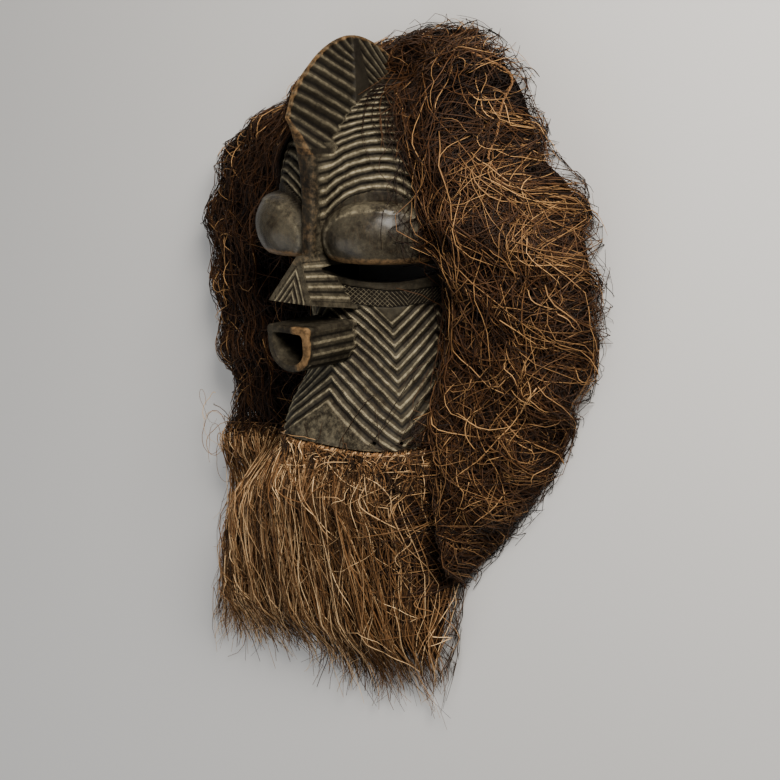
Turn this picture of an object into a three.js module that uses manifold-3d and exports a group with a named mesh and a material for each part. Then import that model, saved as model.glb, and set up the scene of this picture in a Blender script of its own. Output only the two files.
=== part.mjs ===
// A carved wooden kifwebe face mask with its raffia mane and beard, lying on its back.
// Millimetres. While it is modelled, +X is the mask's own left, +Y runs up the face to the crown,
// +Z comes out of the face, Z = 0 is the plane of the back rim and Y = 0 is the level of the eyes.
// At the end the whole group is moved so that it lies on Z = 0, centred on its bounding box.
import * as THREE from "three";
import Module from "manifold-3d";

const wasm = await Module();
wasm.setup();
const { Manifold, Mesh: SolidMesh } = wasm;

const DEGREE = Math.PI / 180;
const GAP = 0.4; // clearance kept between touching pieces

// Heights
const FLOOR = -20; // the ground, below the rim: the inner band of the mane lies between them
const CHIN_Y = -195; // lower end of the wood
const CROWN_Y = 188; // top of the wooden skull, under the crest
const BROW_Y = 64; // above this level the skull closes as a quarter of an ellipse
const WALL = 11; // thickness of the carved wood
const SOCKET = 0.7; // share of the eye bulge that is hollowed out behind it

// The face from the chin up: level, half width, depth and squareness of the cross-section
const FACE_LEVELS = [
  { y: CHIN_Y, halfWidth: 100, depth: 138, square: 3.4 },
  { y: -165, halfWidth: 100, depth: 133, square: 2.7 },
  { y: -130, halfWidth: 97, depth: 126, square: 1.85 },
  { y: -100, halfWidth: 97, depth: 123, square: 1.62 },
  { y: -60, halfWidth: 98, depth: 126, square: 1.62 },
  { y: -25, halfWidth: 102, depth: 131, square: 1.75 },
  { y: 10, halfWidth: 112, depth: 138, square: 2.1 },
  { y: BROW_Y, halfWidth: 118, depth: 142, square: 2.35 },
];

// Eyes: a bulging upper lid, cut level along its shelf, over a crescent slit
const LID = { turn: 29, level: 25, reachIn: 28, reachOut: 27, rise: 42, shelf: 3, bulge: 32, root: 6 };
const SLIT = { from: 6, to: 60, crown: 1, floor: -21, corner: -6, outside: 12, inside: -30 };
const SLIT_FLARE = [-13, 3]; // degrees that the slit's two ends open inwards

// Crest: a thin lobed fin on the middle of the skull, seen from the side as (y, z)
const CREST_EDGE = [[150, 187], [174, 177], [196, 158], [219, 127], [230, 88], [218, 45], [190, 3]];
const CREST_ROOT = [[162, 6], [118, 30], [88, 90], [98, 146], [114, 160]];
const CREST_FOCUS = [118, 70];
const CREST_EDGE_HALF = 2.6;
const CREST_SLOPE = 12; // how much half thickness the fin gains towards its focus
const CREST_GROOVE = { width: 7.5, depth: 2.6, start: 0.045 };
const CREST_WEDGE_Z = 90; // front edge of the plain wedge between the two fans of grooves
// The two fans: where they begin and end along the crest's edge, and which way their grooves run
const CREST_FANS = [
  { from: 0.03, to: 0.5, count: 10, heading: [-0.48, -0.877], stop: CREST_WEDGE_Z },
  { from: 0.63, to: 0.87, count: 4, heading: [-0.72, -0.69], stop: 0 },
];

// Ridge down the forehead, from the corner of the crest to the nose: level, front, half width, root
const RIDGE = [
  [149, 186, 2.2, 172],
  [138, 178, 5, 152],
  [126, 171, 7.6, 132],
  [112, 164, 9.5, 116],
  [66, 159, 8.5, 116],
  [14, 161, 6.5, 116],
  [0, 162, 5, 116],
];
const RIDGE_SPREAD = 4;

// Nose and mouth
const NOSE = { top: 9, topZ: 172, topHalf: 2, base: -37.5, baseZ: 186, baseHalf: 29 };
const NOSE_ROOT = { topHalf: 12, baseHalf: 32, drop: 12 };
const CHEVRONS = [0.3, 0.53, 0.76]; // shares of the way down the nose's front
const NOSE_LINES = [0.22, 0.42, 0.62, 0.82]; // the same for the level grooves on its sides
const MOUTH = { top: -61, bottom: -110, half: 28, frontTop: 192, frontBottom: 186 };
const MOUTH_BORE = { wall: 8.5, from: 80 };
const MOUTH_LINES = [
  { y: -71, x: 27.8, tilt: 0.05 },
  { y: -83, x: 28, tilt: -0.05 },
  { y: -95, x: 25.2, tilt: -0.55 },
];
const FEATURE_ROOT_Z = 112; // where the nose and the mouth end, inside the wall

// Carved grooves
const BROW_GROOVES = 14;
const BROW_DEPTH = 4.8;
const CHEEK_CHANNELS = 12;
const CHEEK_PITCH = 12.4;
const CHEEK_FIRST = -66; // level of the first valley
const CHEEK_PEAK = 61; // turn of the outer peaks
const CHEEK_CLIMB = 1.75; // level gained for each degree from a valley to a peak
const CHEEK_DEPTH = 4.8;
const CHEEK_TOP = -46; // lower edge of the plain band under the eyes
const CREST_SINK = 2.2; // how far the sharp crests lie below the plain wood
const FIELD_COVER = 14; // how far a cutting field stands in front of the wood
const GROOVE_LIFT = 1.5; // the same for a single groove

// Holes that the header cord is tied through
const TIE_HOLES = { turns: [26, 38], y: CHIN_Y + 7, radius: 2.3 };

// Mane: its outline on the ground, from the near end by the chin over the crown
const MANE_OUTLINE = [
  [78, -362], [98, -338], [134, -296], [168, -254], [196, -206], [222, -152], [240, -96],
  [246, -36], [236, 28], [216, 76], [184, 100], [170, 134], [156, 174], [124, 214], [80, 232],
  [32, 232], [-12, 220], [-66, 206], [-118, 182], [-158, 156], [-218, 132], [-268, 90],
  [-290, 36], [-290, -40], [-278, -110], [-264, -170], [-252, -225], [-258, -285],
];
// How high the mane leans on the wood, and how high it humps beside it, at shares of the way round
const MANE_HEIGHTS = [
  { share: 0, touch: 46, hump: 62 },
  { share: 0.06, touch: 58, hump: 74 },
  { share: 0.17, touch: 36, hump: 68 },
  { share: 0.24, touch: 74, hump: 88 },
  { share: 0.3, touch: 98, hump: 108 },
  { share: 0.36, touch: 86, hump: 98 },
  { share: 0.42, touch: 46, hump: 64 },
  { share: 0.5, touch: 2, hump: 22 },
  { share: 0.58, touch: 16, hump: 36 },
  { share: 0.7, touch: 32, hump: 48 },
  { share: 1, touch: 34, hump: 46 },
];
const MANE_LOCKS = 18;
const MANE_UNDER = 16; // how far the mane reaches in under the wood's rim

// Beard: middle line, half width, upper and lower height at levels down its length
const BEARD = [
  { y: -209, middle: 0, half: 96, top: 139, lower: 30 },
  { y: -240, middle: -26, half: 124, top: 132, lower: 0 },
  { y: -285, middle: -56, half: 140, top: 112, lower: FLOOR },
  { y: -345, middle: -86, half: 150, top: 84, lower: FLOOR },
  { y: -405, middle: -102, half: 160, top: 54, lower: FLOOR },
  { y: -460, middle: -110, half: 166, top: 28, lower: FLOOR },
  { y: -504, middle: -110, half: 160, top: 4, lower: FLOOR },
];
const BEARD_LOCKS = 12;
const SAMPLES_PER_LOCK = 3;

// Two-ply twisted cord bound along the chin's end
const CORD = { reach: 70, radius: 4.6, steps: 26, sides: 6, inset: 6, ply: 0.2, lay: 5 };

const WOOD_COLOUR = 0x4a443b;
const MANE_COLOUR = 0x5b3a22;
const BEARD_COLOUR = 0xa37a45;
const CORD_COLOUR = 0x8d6a3e;

function mix(a, b, t) {
  return a + (b - a) * t;
}

function steps(from, to, count) {
  return Array.from({ length: count + 1 }, (unused, k) => mix(from, to, k / count));
}

// Smooth run through a list of stations, by cubic Hermite pieces with slopes from the neighbours
function smoothRun(places, values, place) {
  const last = places.length - 1;
  const x = Math.min(Math.max(place, places[0]), places[last]);
  let k = 0;
  while (k < last - 1 && x > places[k + 1]) k += 1;
  const slope = (i) => {
    const low = Math.max(i - 1, 0);
    const high = Math.min(i + 1, last);
    return (values[high] - values[low]) / (places[high] - places[low]);
  };
  const step = places[k + 1] - places[k];
  const t = (x - places[k]) / step;
  return (
    values[k] * (1 + 2 * t) * (1 - t) ** 2 +
    slope(k) * step * t * (1 - t) ** 2 +
    values[k + 1] * t * t * (3 - 2 * t) +
    slope(k + 1) * step * t * t * (t - 1)
  );
}

const LEVELS = FACE_LEVELS.map((row) => row.y);
const HALF_WIDTHS = FACE_LEVELS.map((row) => row.halfWidth);
const DEPTHS = FACE_LEVELS.map((row) => row.depth);
const SQUARES = FACE_LEVELS.map((row) => row.square);

// Half width, depth and squareness of the head at a level; inset shrinks all three ways
function crossSection(y, inset = 0) {
  const level = Math.min(y, BROW_Y);
  const t = Math.min(Math.max((y - BROW_Y) / (CROWN_Y - inset - BROW_Y), 0), 0.999);
  return {
    halfWidth: (smoothRun(LEVELS, HALF_WIDTHS, level) - inset) * (1 - t ** 2.5) ** 0.4,
    depth: (smoothRun(LEVELS, DEPTHS, level) - inset) * Math.sqrt(1 - t * t),
    square: smoothRun(LEVELS, SQUARES, level),
  };
}

// Swell of the eyelid over the face at a turn from the middle plane, in degrees, and a level
function lidSwell(turn, y) {
  const away = Math.abs(turn) - LID.turn;
  const reach = away < 0 ? LID.reachIn : LID.reachOut;
  const outside = (away / reach) ** 2 + ((y - LID.level) / LID.rise) ** 2;
  if (outside >= 1) return 0;
  return LID.bulge * (1 - outside) ** 0.55;
}

// Distance of the wood from the upright axis at a turn and a level
function headRadius(turn, y, inset = 0, swellShare = 0) {
  const { halfWidth, depth, square } = crossSection(y, inset);
  const side = Math.abs(Math.sin(turn * DEGREE)) / halfWidth;
  const front = Math.abs(Math.cos(turn * DEGREE)) / depth;
  return (side ** square + front ** square) ** (-1 / square) + swellShare * lidSwell(turn, y);
}

function headPoint(turn, y, inset = 0, swellShare = 0) {
  const r = headRadius(turn, y, inset, swellShare);
  return new THREE.Vector3(r * Math.sin(turn * DEGREE), y, r * Math.cos(turn * DEGREE));
}

function headNormal(turn, y) {
  const across = headPoint(turn + 0.5, y).sub(headPoint(turn - 0.5, y));
  const up = headPoint(turn, y + 0.5).sub(headPoint(turn, y - 0.5));
  return across.cross(up).normalize();
}

// A closed solid from its corners and triangles, turned right side out
function solidFrom(points, triangles) {
  let volume = 0;
  for (const [a, b, c] of triangles) {
    volume += points[a].dot(new THREE.Vector3().crossVectors(points[b], points[c]));
  }
  const facing = volume < 0 ? triangles.map(([a, b, c]) => [a, c, b]) : triangles;
  return new Manifold(
    new SolidMesh({
      numProp: 3,
      vertProperties: Float32Array.from(points.flatMap((p) => p.toArray())),
      triVerts: Uint32Array.from(facing.flat()),
    }),
  );
}

// Triangles from the middle of a loop to each of its sides
function fanFill(loop, first, points) {
  const centre = loop.reduce((sum, p) => sum.add(p), new THREE.Vector3()).divideScalar(loop.length);
  points.push(centre);
  return loop.map((unused, k) => [first + k, first + ((k + 1) % loop.length), points.length - 1]);
}

// Triangles between the corners of a flat loop that is too bent for a fan
function earFill(loop, first) {
  const area = new THREE.Vector3();
  loop.forEach((p, k) => {
    area.add(new THREE.Vector3().crossVectors(p, loop[(k + 1) % loop.length]));
  });
  const sizes = area.toArray().map(Math.abs);
  const dropped = sizes.indexOf(Math.max(...sizes));
  const flat = loop.map((p) => new THREE.Vector2(...p.toArray().filter((unused, axis) => axis !== dropped)));
  const clockwise = THREE.ShapeUtils.isClockWise(flat);
  const order = flat.map((unused, k) => (clockwise ? flat.length - 1 - k : k));
  const triangles = THREE.ShapeUtils.triangulateShape(order.map((k) => flat[k]), []);
  return triangles.map((t) => t.map((k) => first + order[k])).map((t) => (clockwise ? t.reverse() : t));
}

// Skin over a row of closed loops with equal numbers of points, filled at both ends
function loft(loops, fill = fanFill) {
  const count = loops[0].length;
  const points = loops.flat();
  const triangles = [];
  for (let row = 0; row < loops.length - 1; row += 1) {
    for (let k = 0; k < count; k += 1) {
      const a = row * count + k;
      const b = row * count + ((k + 1) % count);
      triangles.push([a, b, b + count], [a, b + count, a + count]);
    }
  }
  const lastRow = (loops.length - 1) * count;
  triangles.push(...fill(loops[0], 0, points).map(([a, b, c]) => [a, c, b]));
  triangles.push(...fill(loops[loops.length - 1], lastRow, points));
  return solidFrom(points, triangles);
}

function box(low, high) {
  const loops = [low[2], high[2]].map((z) => [
    new THREE.Vector3(low[0], low[1], z),
    new THREE.Vector3(high[0], low[1], z),
    new THREE.Vector3(high[0], high[1], z),
    new THREE.Vector3(low[0], high[1], z),
  ]);
  return loft(loops);
}

// Straight solid between two placings of one outline
function prism(outline, placeLow, placeHigh) {
  return loft([outline.map(placeLow), outline.map(placeHigh)]);
}

// Wedge that cuts a V groove along a path of surface points with their normals
function groove(path, width, depth) {
  const half = (width / 2) * (1 + GROOVE_LIFT / depth);
  const loops = path.map(({ point, normal }, k) => {
    const before = path[Math.max(k - 1, 0)].point;
    const after = path[Math.min(k + 1, path.length - 1)].point;
    const side = after.clone().sub(before).cross(normal).normalize();
    const top = point.clone().addScaledVector(normal, GROOVE_LIFT);
    return [
      top.clone().addScaledVector(side, half),
      top.clone().addScaledVector(side, -half),
      point.clone().addScaledVector(normal, -depth),
    ];
  });
  return loft(loops);
}

// Levels from the brow to the crown, closer together where the skull closes
function skullLevels(angles, inset) {
  return angles.map((angle) => BROW_Y + (CROWN_Y - inset - BROW_Y) * Math.sin(angle * DEGREE));
}

// Solid lump of the head; back and foot say how far it runs past the rim plane and the chin end
function headLump(inset, back, foot) {
  const face = [CHIN_Y - foot, -178, -155, -130, -100, -70, -40, -10, 20, 45, BROW_Y];
  const loops = [...face, ...skullLevels([18, 34, 48, 60, 71, 81], inset)].map((y) => {
    const loop = steps(-90, 90, 20).map((turn) => headPoint(turn, y, inset));
    loop.push(loop[loop.length - 1].clone().setZ(-back), loop[0].clone().setZ(-back));
    return loop;
  });
  return loft(loops);
}

// The hollow behind the face, open at the back and the chin, with a socket behind each eye
function hollow() {
  const past = 12;
  const face = [CHIN_Y - past, -165, -130, -95, -50, -10, 8, 30, 50, BROW_Y];
  const loops = [...face, ...skullLevels([25, 45, 62, 78], WALL)].map((y) => {
    const loop = steps(-90, 90, 12).map((turn) => headPoint(turn, y, WALL, SOCKET));
    loop.push(loop[loop.length - 1].clone().setZ(-past), loop[0].clone().setZ(-past));
    return loop;
  });
  return loft(loops);
}

// Bulging eyelid, cut level below; grow widens it all round
function eyelid(side, grow) {
  const loops = steps(-0.97, 0.97, 12).map((away) => {
    const turn = LID.turn + away * (away < 0 ? LID.reachIn : LID.reachOut);
    const half = LID.rise * Math.sqrt(1 - away * away);
    const low = Math.max(LID.level - half, LID.shelf) - grow;
    const high = LID.level + half + grow;
    const rows = [0, 0.25, 0.5, 0.72, 0.88, 1].map((t) => mix(low, high, t));
    const outer = rows.map((y) => headPoint(side * turn, y, -grow, 1));
    const inner = [high, low].map((y) => headPoint(side * turn, y, LID.root));
    return [...outer, ...inner];
  });
  return loft(loops);
}

const crestCurve = new THREE.CatmullRomCurve3(
  CREST_EDGE.map(([y, z]) => new THREE.Vector3(0, y, z)),
  false,
  "centripetal",
);

// Crest fin: the same outline drawn in towards its focus as the fin grows thicker
function crest(grow) {
  const edge = crestCurve.getPoints(14);
  const root = CREST_ROOT.map(([y, z]) => new THREE.Vector3(0, y, z));
  const [focusY, focusZ] = CREST_FOCUS;
  const focus = new THREE.Vector3(0, focusY, focusZ);
  const outline = [...edge, ...root].map((p) => p.sub(focus).setLength(p.length() + grow).add(focus));
  const levels = [
    [-1, 0.25],
    [-1, 1],
    [1, 1],
    [1, 0.25],
  ];
  const loops = levels.map(([side, share]) => {
    const x = side * (CREST_EDGE_HALF + CREST_SLOPE * (1 - share) + grow);
    return outline.map((p) => new THREE.Vector3(x, mix(focusY, p.y, share), mix(focusZ, p.z, share)));
  });
  return loft(loops);
}

const CREST_REACH = crestCurve.getPoints(60).map((p) => ({
  angle: Math.atan2(p.z - CREST_FOCUS[1], p.y - CREST_FOCUS[0]),
  reach: Math.hypot(p.z - CREST_FOCUS[1], p.y - CREST_FOCUS[0]),
}));

// Half thickness of the crest at a place on its side
function crestHalf(y, z) {
  const [focusY, focusZ] = CREST_FOCUS;
  const angle = Math.atan2(z - focusZ, y - focusY);
  const near = CREST_REACH.reduce((best, p) =>
    Math.abs(p.angle - angle) < Math.abs(best.angle - angle) ? p : best,
  );
  const share = Math.hypot(z - focusZ, y - focusY) / near.reach;
  return CREST_EDGE_HALF + CREST_SLOPE * (1 - share);
}

// Where groove number k of a fan begins, just inside the crest's edge
function edgePlace(fan, k) {
  const edge = crestCurve.getPointAt(mix(fan.from, fan.to, k / (fan.count - 1)));
  return [mix(edge.y, CREST_FOCUS[0], CREST_GROOVE.start), mix(edge.z, CREST_FOCUS[1], CREST_GROOVE.start)];
}

// Where a groove runs out: on the skull, or on the front edge of the plain wedge
function groundPlace(start, fan) {
  let [y, z] = start;
  const skullDepth = DEPTHS[DEPTHS.length - 1];
  const above = () => Math.hypot(Math.max(y - BROW_Y, 0) / (CROWN_Y - BROW_Y), z / skullDepth) > 1;
  while (above() && z > fan.stop) {
    y += fan.heading[0];
    z += fan.heading[1];
  }
  return [y, z];
}

// Slanting grooves on both sides of the crest, before and behind its plain wedge
function crestGrooves() {
  const cutters = [];
  for (const side of [-1, 1]) {
    const normal = new THREE.Vector3(side, 0.08, 0.08).normalize();
    for (const fan of CREST_FANS) {
      for (let k = 0; k < fan.count; k += 1) {
        const start = edgePlace(fan, k);
        const path = [start, groundPlace(start, fan)].map(([y, z]) => ({
          point: new THREE.Vector3(side * crestHalf(y, z), y, z),
          normal,
        }));
        cutters.push(groove(path, CREST_GROOVE.width, CREST_GROOVE.depth));
      }
    }
  }
  return cutters;
}

function ridge() {
  const loops = RIDGE.map(([y, z, half, root]) => [
    new THREE.Vector3(-half, y, z),
    new THREE.Vector3(half, y, z),
    new THREE.Vector3(half + RIDGE_SPREAD, y, root),
    new THREE.Vector3(-half - RIDGE_SPREAD, y, root),
  ]);
  return loft(loops);
}

// Corner of the nose: t from its top to its base, s from its front to its root
function noseCorner(side, t, s) {
  const front = mix(NOSE.topHalf, NOSE.baseHalf, t);
  const root = mix(NOSE_ROOT.topHalf, NOSE_ROOT.baseHalf, t);
  const y = mix(NOSE.top, NOSE.base, t) - NOSE_ROOT.drop * t * s;
  const z = mix(mix(NOSE.topZ, NOSE.baseZ, t), FEATURE_ROOT_Z, s);
  return new THREE.Vector3(side * mix(front, root, s), y, z);
}

function nose() {
  const loops = [0, 1].map((t) => [
    noseCorner(-1, t, 0),
    noseCorner(1, t, 0),
    noseCorner(1, t, 1),
    noseCorner(-1, t, 1),
  ]);
  return loft(loops);
}

// Chevrons on the front of the nose and level grooves on its sides
function noseGrooves() {
  const cutters = [];
  const front = new THREE.Vector3(0, 0.28, 0.96).normalize();
  for (const side of [-1, 1]) {
    for (const drop of CHEVRONS) {
      const apex = noseCorner(1, drop, 0).setX(0);
      const foot = noseCorner(side, 1, 0).multiply(new THREE.Vector3(1 - drop * 0.95, 1, 1));
      const path = [apex, foot].map((point) => ({ point, normal: front }));
      cutters.push(groove(path, 4, 2));
    }
    const normal = new THREE.Vector3(side, 0.5, 0.05).normalize();
    for (const t of NOSE_LINES) {
      const path = [-0.02, 0.9].map((s) => ({ point: noseCorner(side, t, s), normal }));
      cutters.push(groove(path, 6, 2.4));
    }
  }
  return cutters;
}

// D-shaped outline of the mouth, flat above and round below
function mouthOutline(inset) {
  const half = MOUTH.half - inset;
  const top = MOUTH.top - inset;
  const bottom = MOUTH.bottom + inset;
  const turn = (top + bottom) / 2 + 4;
  const bowl = steps(0, 180, 12).map((angle) => ({
    x: half * Math.cos(angle * DEGREE),
    y: turn + (bottom - turn) * Math.sin(angle * DEGREE) ** 0.85,
  }));
  return [{ x: half - 3, y: top }, ...bowl, { x: -half + 3, y: top }];
}

function mouthFront(y, overshoot) {
  const t = (y - MOUTH.bottom) / (MOUTH.top - MOUTH.bottom);
  return mix(MOUTH.frontBottom, MOUTH.frontTop, t) + overshoot;
}

function mouthTube(inset, rootZ, overshoot) {
  return prism(
    mouthOutline(inset),
    (p) => new THREE.Vector3(p.x, p.y, rootZ),
    (p) => new THREE.Vector3(p.x, p.y, mouthFront(p.y, overshoot)),
  );
}

// Level grooves along both sides of the mouth, from just behind its rim to the face
function mouthGrooves() {
  const cutters = [];
  for (const side of [-1, 1]) {
    for (const { y, x, tilt } of MOUTH_LINES) {
      const normal = new THREE.Vector3(side, tilt, 0).normalize();
      const path = [MOUTH.frontBottom - 5, FEATURE_ROOT_Z + 6].map((z) => ({
        point: new THREE.Vector3(side * x, y, z),
        normal,
      }));
      cutters.push(groove(path, 7, 2.4));
    }
  }
  return cutters;
}

// Level of brow groove k at a turn: an arch over the eye, flatter from one groove to the next
function browLevel(k, turn) {
  const upper = Math.max(k - 6, 0);
  const apex = 77 + 9 * Math.min(k, 6) + 6.4 * upper - 0.12 * upper ** 2;
  const away = (turn - 30) / 26;
  const inner = Math.max(31 - 2.6 * k, 4) * Math.abs(away) ** 2.2;
  const outer = 56 * 0.84 ** k * away * away;
  return apex - (away < 0 ? inner : outer);
}

// Turn of the valley of cheek line k, wider out from one line to the next
function cheekValley(k) {
  return 32 + 0.75 * k;
}

// Level of cheek line k at a turn: down from the nose to a valley, up to a peak and down again
function cheekLevel(k, turn) {
  const valley = cheekValley(k);
  const low = CHEEK_FIRST - CHEEK_PITCH * k;
  if (turn < valley) return low + mix(2.1, 1.58, k / CHEEK_CHANNELS) * (valley - turn);
  return low + CHEEK_CLIMB * (CHEEK_PEAK - valley - Math.abs(CHEEK_PEAK - turn));
}

// Everything in front of a carved field: columns of [turn, level, depth] places give its floor
function carvedField(columns) {
  const loops = columns.map((places) => {
    const at = ([turn, y, depth]) => headPoint(turn, y).addScaledVector(headNormal(turn, y), -depth);
    const last = places.length - 1;
    const cover = [1, 0.75, 0.5, 0.25, 0].map((share) => places[Math.round(last * share)]);
    return [...places.map(at), ...cover.map(([turn, y]) => at([turn, y, -FIELD_COVER]))];
  });
  return loft(loops, earFill);
}

// Rounded beads over one eye, parted by narrow grooves
function browField(side) {
  const lines = [[-0.2, -1]];
  for (let k = 0; k <= BROW_GROOVES; k += 1) {
    lines.push([k, BROW_DEPTH], [k + 0.28, CREST_SINK], [k + 0.72, CREST_SINK]);
  }
  lines.push([BROW_GROOVES + 0.95, -1]);
  const columns = steps(3, 67, 6).map((turn) =>
    lines.map(([k, depth]) => [side * turn, browLevel(k, turn), depth]),
  );
  return carvedField(columns);
}

// Gouged zigzag channels with sharp crests, over the cheeks and the chin
function cheekField() {
  const lines = [[-0.25, -1]];
  for (let k = 0; k < CHEEK_CHANNELS; k += 1) {
    lines.push([k, CREST_SINK], [k + 0.5, CHEEK_DEPTH]);
  }
  lines.push([CHEEK_CHANNELS, CREST_SINK], [CHEEK_CHANNELS + 0.25, -1]);
  const shares = [0, 0.5, 1, 1.5, 2, 2.5, 2.9];
  const places = (side, share) =>
    lines.map(([k, depth]) => {
      const valley = cheekValley(k);
      const turn = share <= 1 ? share * valley : mix(valley, CHEEK_PEAK, share - 1);
      return [side * turn, cheekLevel(k, turn), depth];
    });
  const far = [...shares.slice(1)].reverse().map((share) => places(-1, share));
  const near = shares.map((share) => places(1, share));
  const below = box([-150, 2 * CHIN_Y, -5], [150, CHEEK_TOP, 220]);
  return carvedField([...far, ...near]).intersect(below);
}

// Crescent slit under each lid, through the wall
function eyeSlit(side) {
  const loops = steps(0, 1, 8).map((t) => {
    const turn = mix(SLIT.from, SLIT.to, t);
    const arch = (4 * t * (1 - t)) ** 0.7;
    const top = mix(SLIT.corner + 0.5, SLIT.crown, arch);
    const low = mix(SLIT.corner - 0.5, SLIT.floor, arch);
    const corner = (y, depth, flare) => {
      const r = headRadius(turn, SLIT.corner) + depth;
      const angle = (turn + flare) * DEGREE;
      return new THREE.Vector3(side * r * Math.sin(angle), y, r * Math.cos(angle));
    };
    const flare = mix(...SLIT_FLARE, t);
    return [
      corner(top, SLIT.outside, 0),
      corner(low, SLIT.outside, 0),
      corner(low, SLIT.inside, flare),
      corner(top, SLIT.inside, flare),
    ];
  });
  return loft(loops);
}

// Round hole through the wall near the chin's end
function tieHole(turn) {
  const centre = headPoint(turn, TIE_HOLES.y);
  const normal = headNormal(turn, TIE_HOLES.y);
  const across = new THREE.Vector3(0, 1, 0).cross(normal).normalize();
  const up = normal.clone().cross(across);
  const ring = steps(0, 300, 5).map((angle) => [
    TIE_HOLES.radius * Math.cos(angle * DEGREE),
    TIE_HOLES.radius * Math.sin(angle * DEGREE),
  ]);
  const place = (depth) => ([u, v]) =>
    centre.clone().addScaledVector(across, u).addScaledVector(up, v).addScaledVector(normal, depth);
  return prism(ring, place(-25), place(10));
}

function woodenMask() {
  const fields = Manifold.union([browField(1), browField(-1), cheekField()]);
  const body = Manifold.union([
    headLump(0, 0, 0).subtract(fields),
    crest(0),
    ridge(),
    nose(),
    mouthTube(0, FEATURE_ROOT_Z, 0),
    eyelid(1, 0),
    eyelid(-1, 0),
  ]);
  const cutters = [
    hollow(),
    mouthTube(MOUTH_BORE.wall, MOUTH_BORE.from, 10),
    ...[-1, 1].map(eyeSlit),
    ...TIE_HOLES.turns.flatMap((turn) => [tieHole(turn), tieHole(-turn)]),
    ...crestGrooves(),
    ...noseGrooves(),
    ...mouthGrooves(),
  ];
  return body.subtract(Manifold.union(cutters));
}

const maneCurve = new THREE.CatmullRomCurve3(
  MANE_OUTLINE.map(([x, y]) => new THREE.Vector3(x, y, 0)),
  false,
  "centripetal",
);
const MANE_SHARES = MANE_HEIGHTS.map((row) => row.share);
const MANE_TOUCH = MANE_HEIGHTS.map((row) => row.touch);
const MANE_HUMP = MANE_HEIGHTS.map((row) => row.hump);

// Rim of the wood at a share of the way from the near chin over the crown to the far chin
function rimPlace(share) {
  const side = share < 0.5 ? 1 : -1;
  const along = 2 * Math.min(share, 1 - share);
  const straight = 0.6;
  const overCrown = Math.sin(((along - straight) / (1 - straight)) * 90 * DEGREE);
  const besideFace = mix(CHIN_Y + 8, BROW_Y, along / straight);
  const y = along < straight ? besideFace : mix(BROW_Y, CROWN_Y - 6, overCrown);
  return new THREE.Vector3(side * crossSection(y).halfWidth, y, 0);
}

// Closed section of the mane from under the rim, up the wood, over its hump and out to the ground
function maneSection(share) {
  const inner = rimPlace(share);
  const lock = Math.sin(share * MANE_LOCKS * 2 * Math.PI);
  const ragged = 7 * lock + 4 * Math.sin(share * 71 + 1.3);
  const way = maneCurve.getPointAt(share).sub(inner);
  const length = way.length() + ragged;
  way.normalize();
  const touch = smoothRun(MANE_SHARES, MANE_TOUCH, share);
  const hump = smoothRun(MANE_SHARES, MANE_HUMP, share) + 4 * lock;
  const lean = -MANE_UNDER - 0.45 * Math.max(touch - 40, 0);
  const at = (reach, z) => inner.clone().addScaledVector(way, reach).setZ(z);
  return [
    at(-MANE_UNDER, FLOOR),
    at(-MANE_UNDER, -2),
    at(lean, touch),
    at(0.3 * length, hump),
    at(0.66 * length, 0.72 * hump),
    at(0.92 * length, 0.36 * hump + 2 * lock),
    at(length, -10),
    at(length - 3, FLOOR),
  ];
}

function mane() {
  const ring = loft(steps(0, 1, MANE_LOCKS * SAMPLES_PER_LOCK).map(maneSection));
  const kept = [headLump(-GAP, GAP, GAP), crest(GAP), eyelid(1, GAP), eyelid(-1, GAP), beard(GAP)];
  return ring.subtract(Manifold.union(kept));
}

// Closed section of the beard at a station: lock ridges above and a plain side below
function beardSection(row, down, grow) {
  const upper = steps(-1, 1, BEARD_LOCKS * SAMPLES_PER_LOCK).map((u, k) => {
    const lock = (k / SAMPLES_PER_LOCK) * 2 * Math.PI;
    const tip = row.y + 26 * down * u * u + 16 * down ** 3 * Math.cos(lock + 0.6);
    const dome = (1 - Math.abs(u) ** 3.2) ** 0.45;
    const z = mix(row.lower + 3, row.top, dome) + 3.4 * Math.sin(lock) * dome + grow;
    return new THREE.Vector3(row.middle + u * (row.half + grow), tip, z);
  });
  const under = [upper[upper.length - 1], upper[0]].map((p) => p.clone().setZ(row.lower - grow));
  return [...upper, ...under];
}

function beard(grow) {
  return loft(BEARD.map((row, station) => beardSection(row, station / (BEARD.length - 1), grow)));
}

function headerCord() {
  const y = CHIN_Y - CORD.radius * (1 + CORD.ply) - GAP;
  const centre = (turn) => headPoint(turn, CHIN_Y, CORD.inset).setY(y);
  const up = new THREE.Vector3(0, 1, 0);
  const loops = steps(-CORD.reach, CORD.reach, CORD.steps).map((turn, k) => {
    const out = centre(turn + 0.5).sub(centre(turn - 0.5)).cross(up).normalize();
    return steps(0, 360 - 360 / CORD.sides, CORD.sides - 1).map((angle) => {
      const lay = 1 + CORD.ply * Math.cos(2 * (angle * DEGREE - (Math.PI * k) / CORD.lay));
      return centre(turn)
        .addScaledVector(up, CORD.radius * lay * Math.cos(angle * DEGREE))
        .addScaledVector(out, CORD.radius * lay * Math.sin(angle * DEGREE));
    });
  });
  return loft(loops);
}

function named(name, solid, colour, roughness) {
  const { vertProperties, triVerts } = solid.getMesh();
  const geometry = new THREE.BufferGeometry();
  geometry.setAttribute("position", new THREE.BufferAttribute(vertProperties, 3));
  geometry.setIndex(new THREE.BufferAttribute(triVerts, 1));
  geometry.computeVertexNormals();
  const material = new THREE.MeshStandardMaterial({ color: colour, roughness, metalness: 0 });
  const mesh = new THREE.Mesh(geometry, material);
  mesh.name = name;
  return mesh;
}

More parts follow.
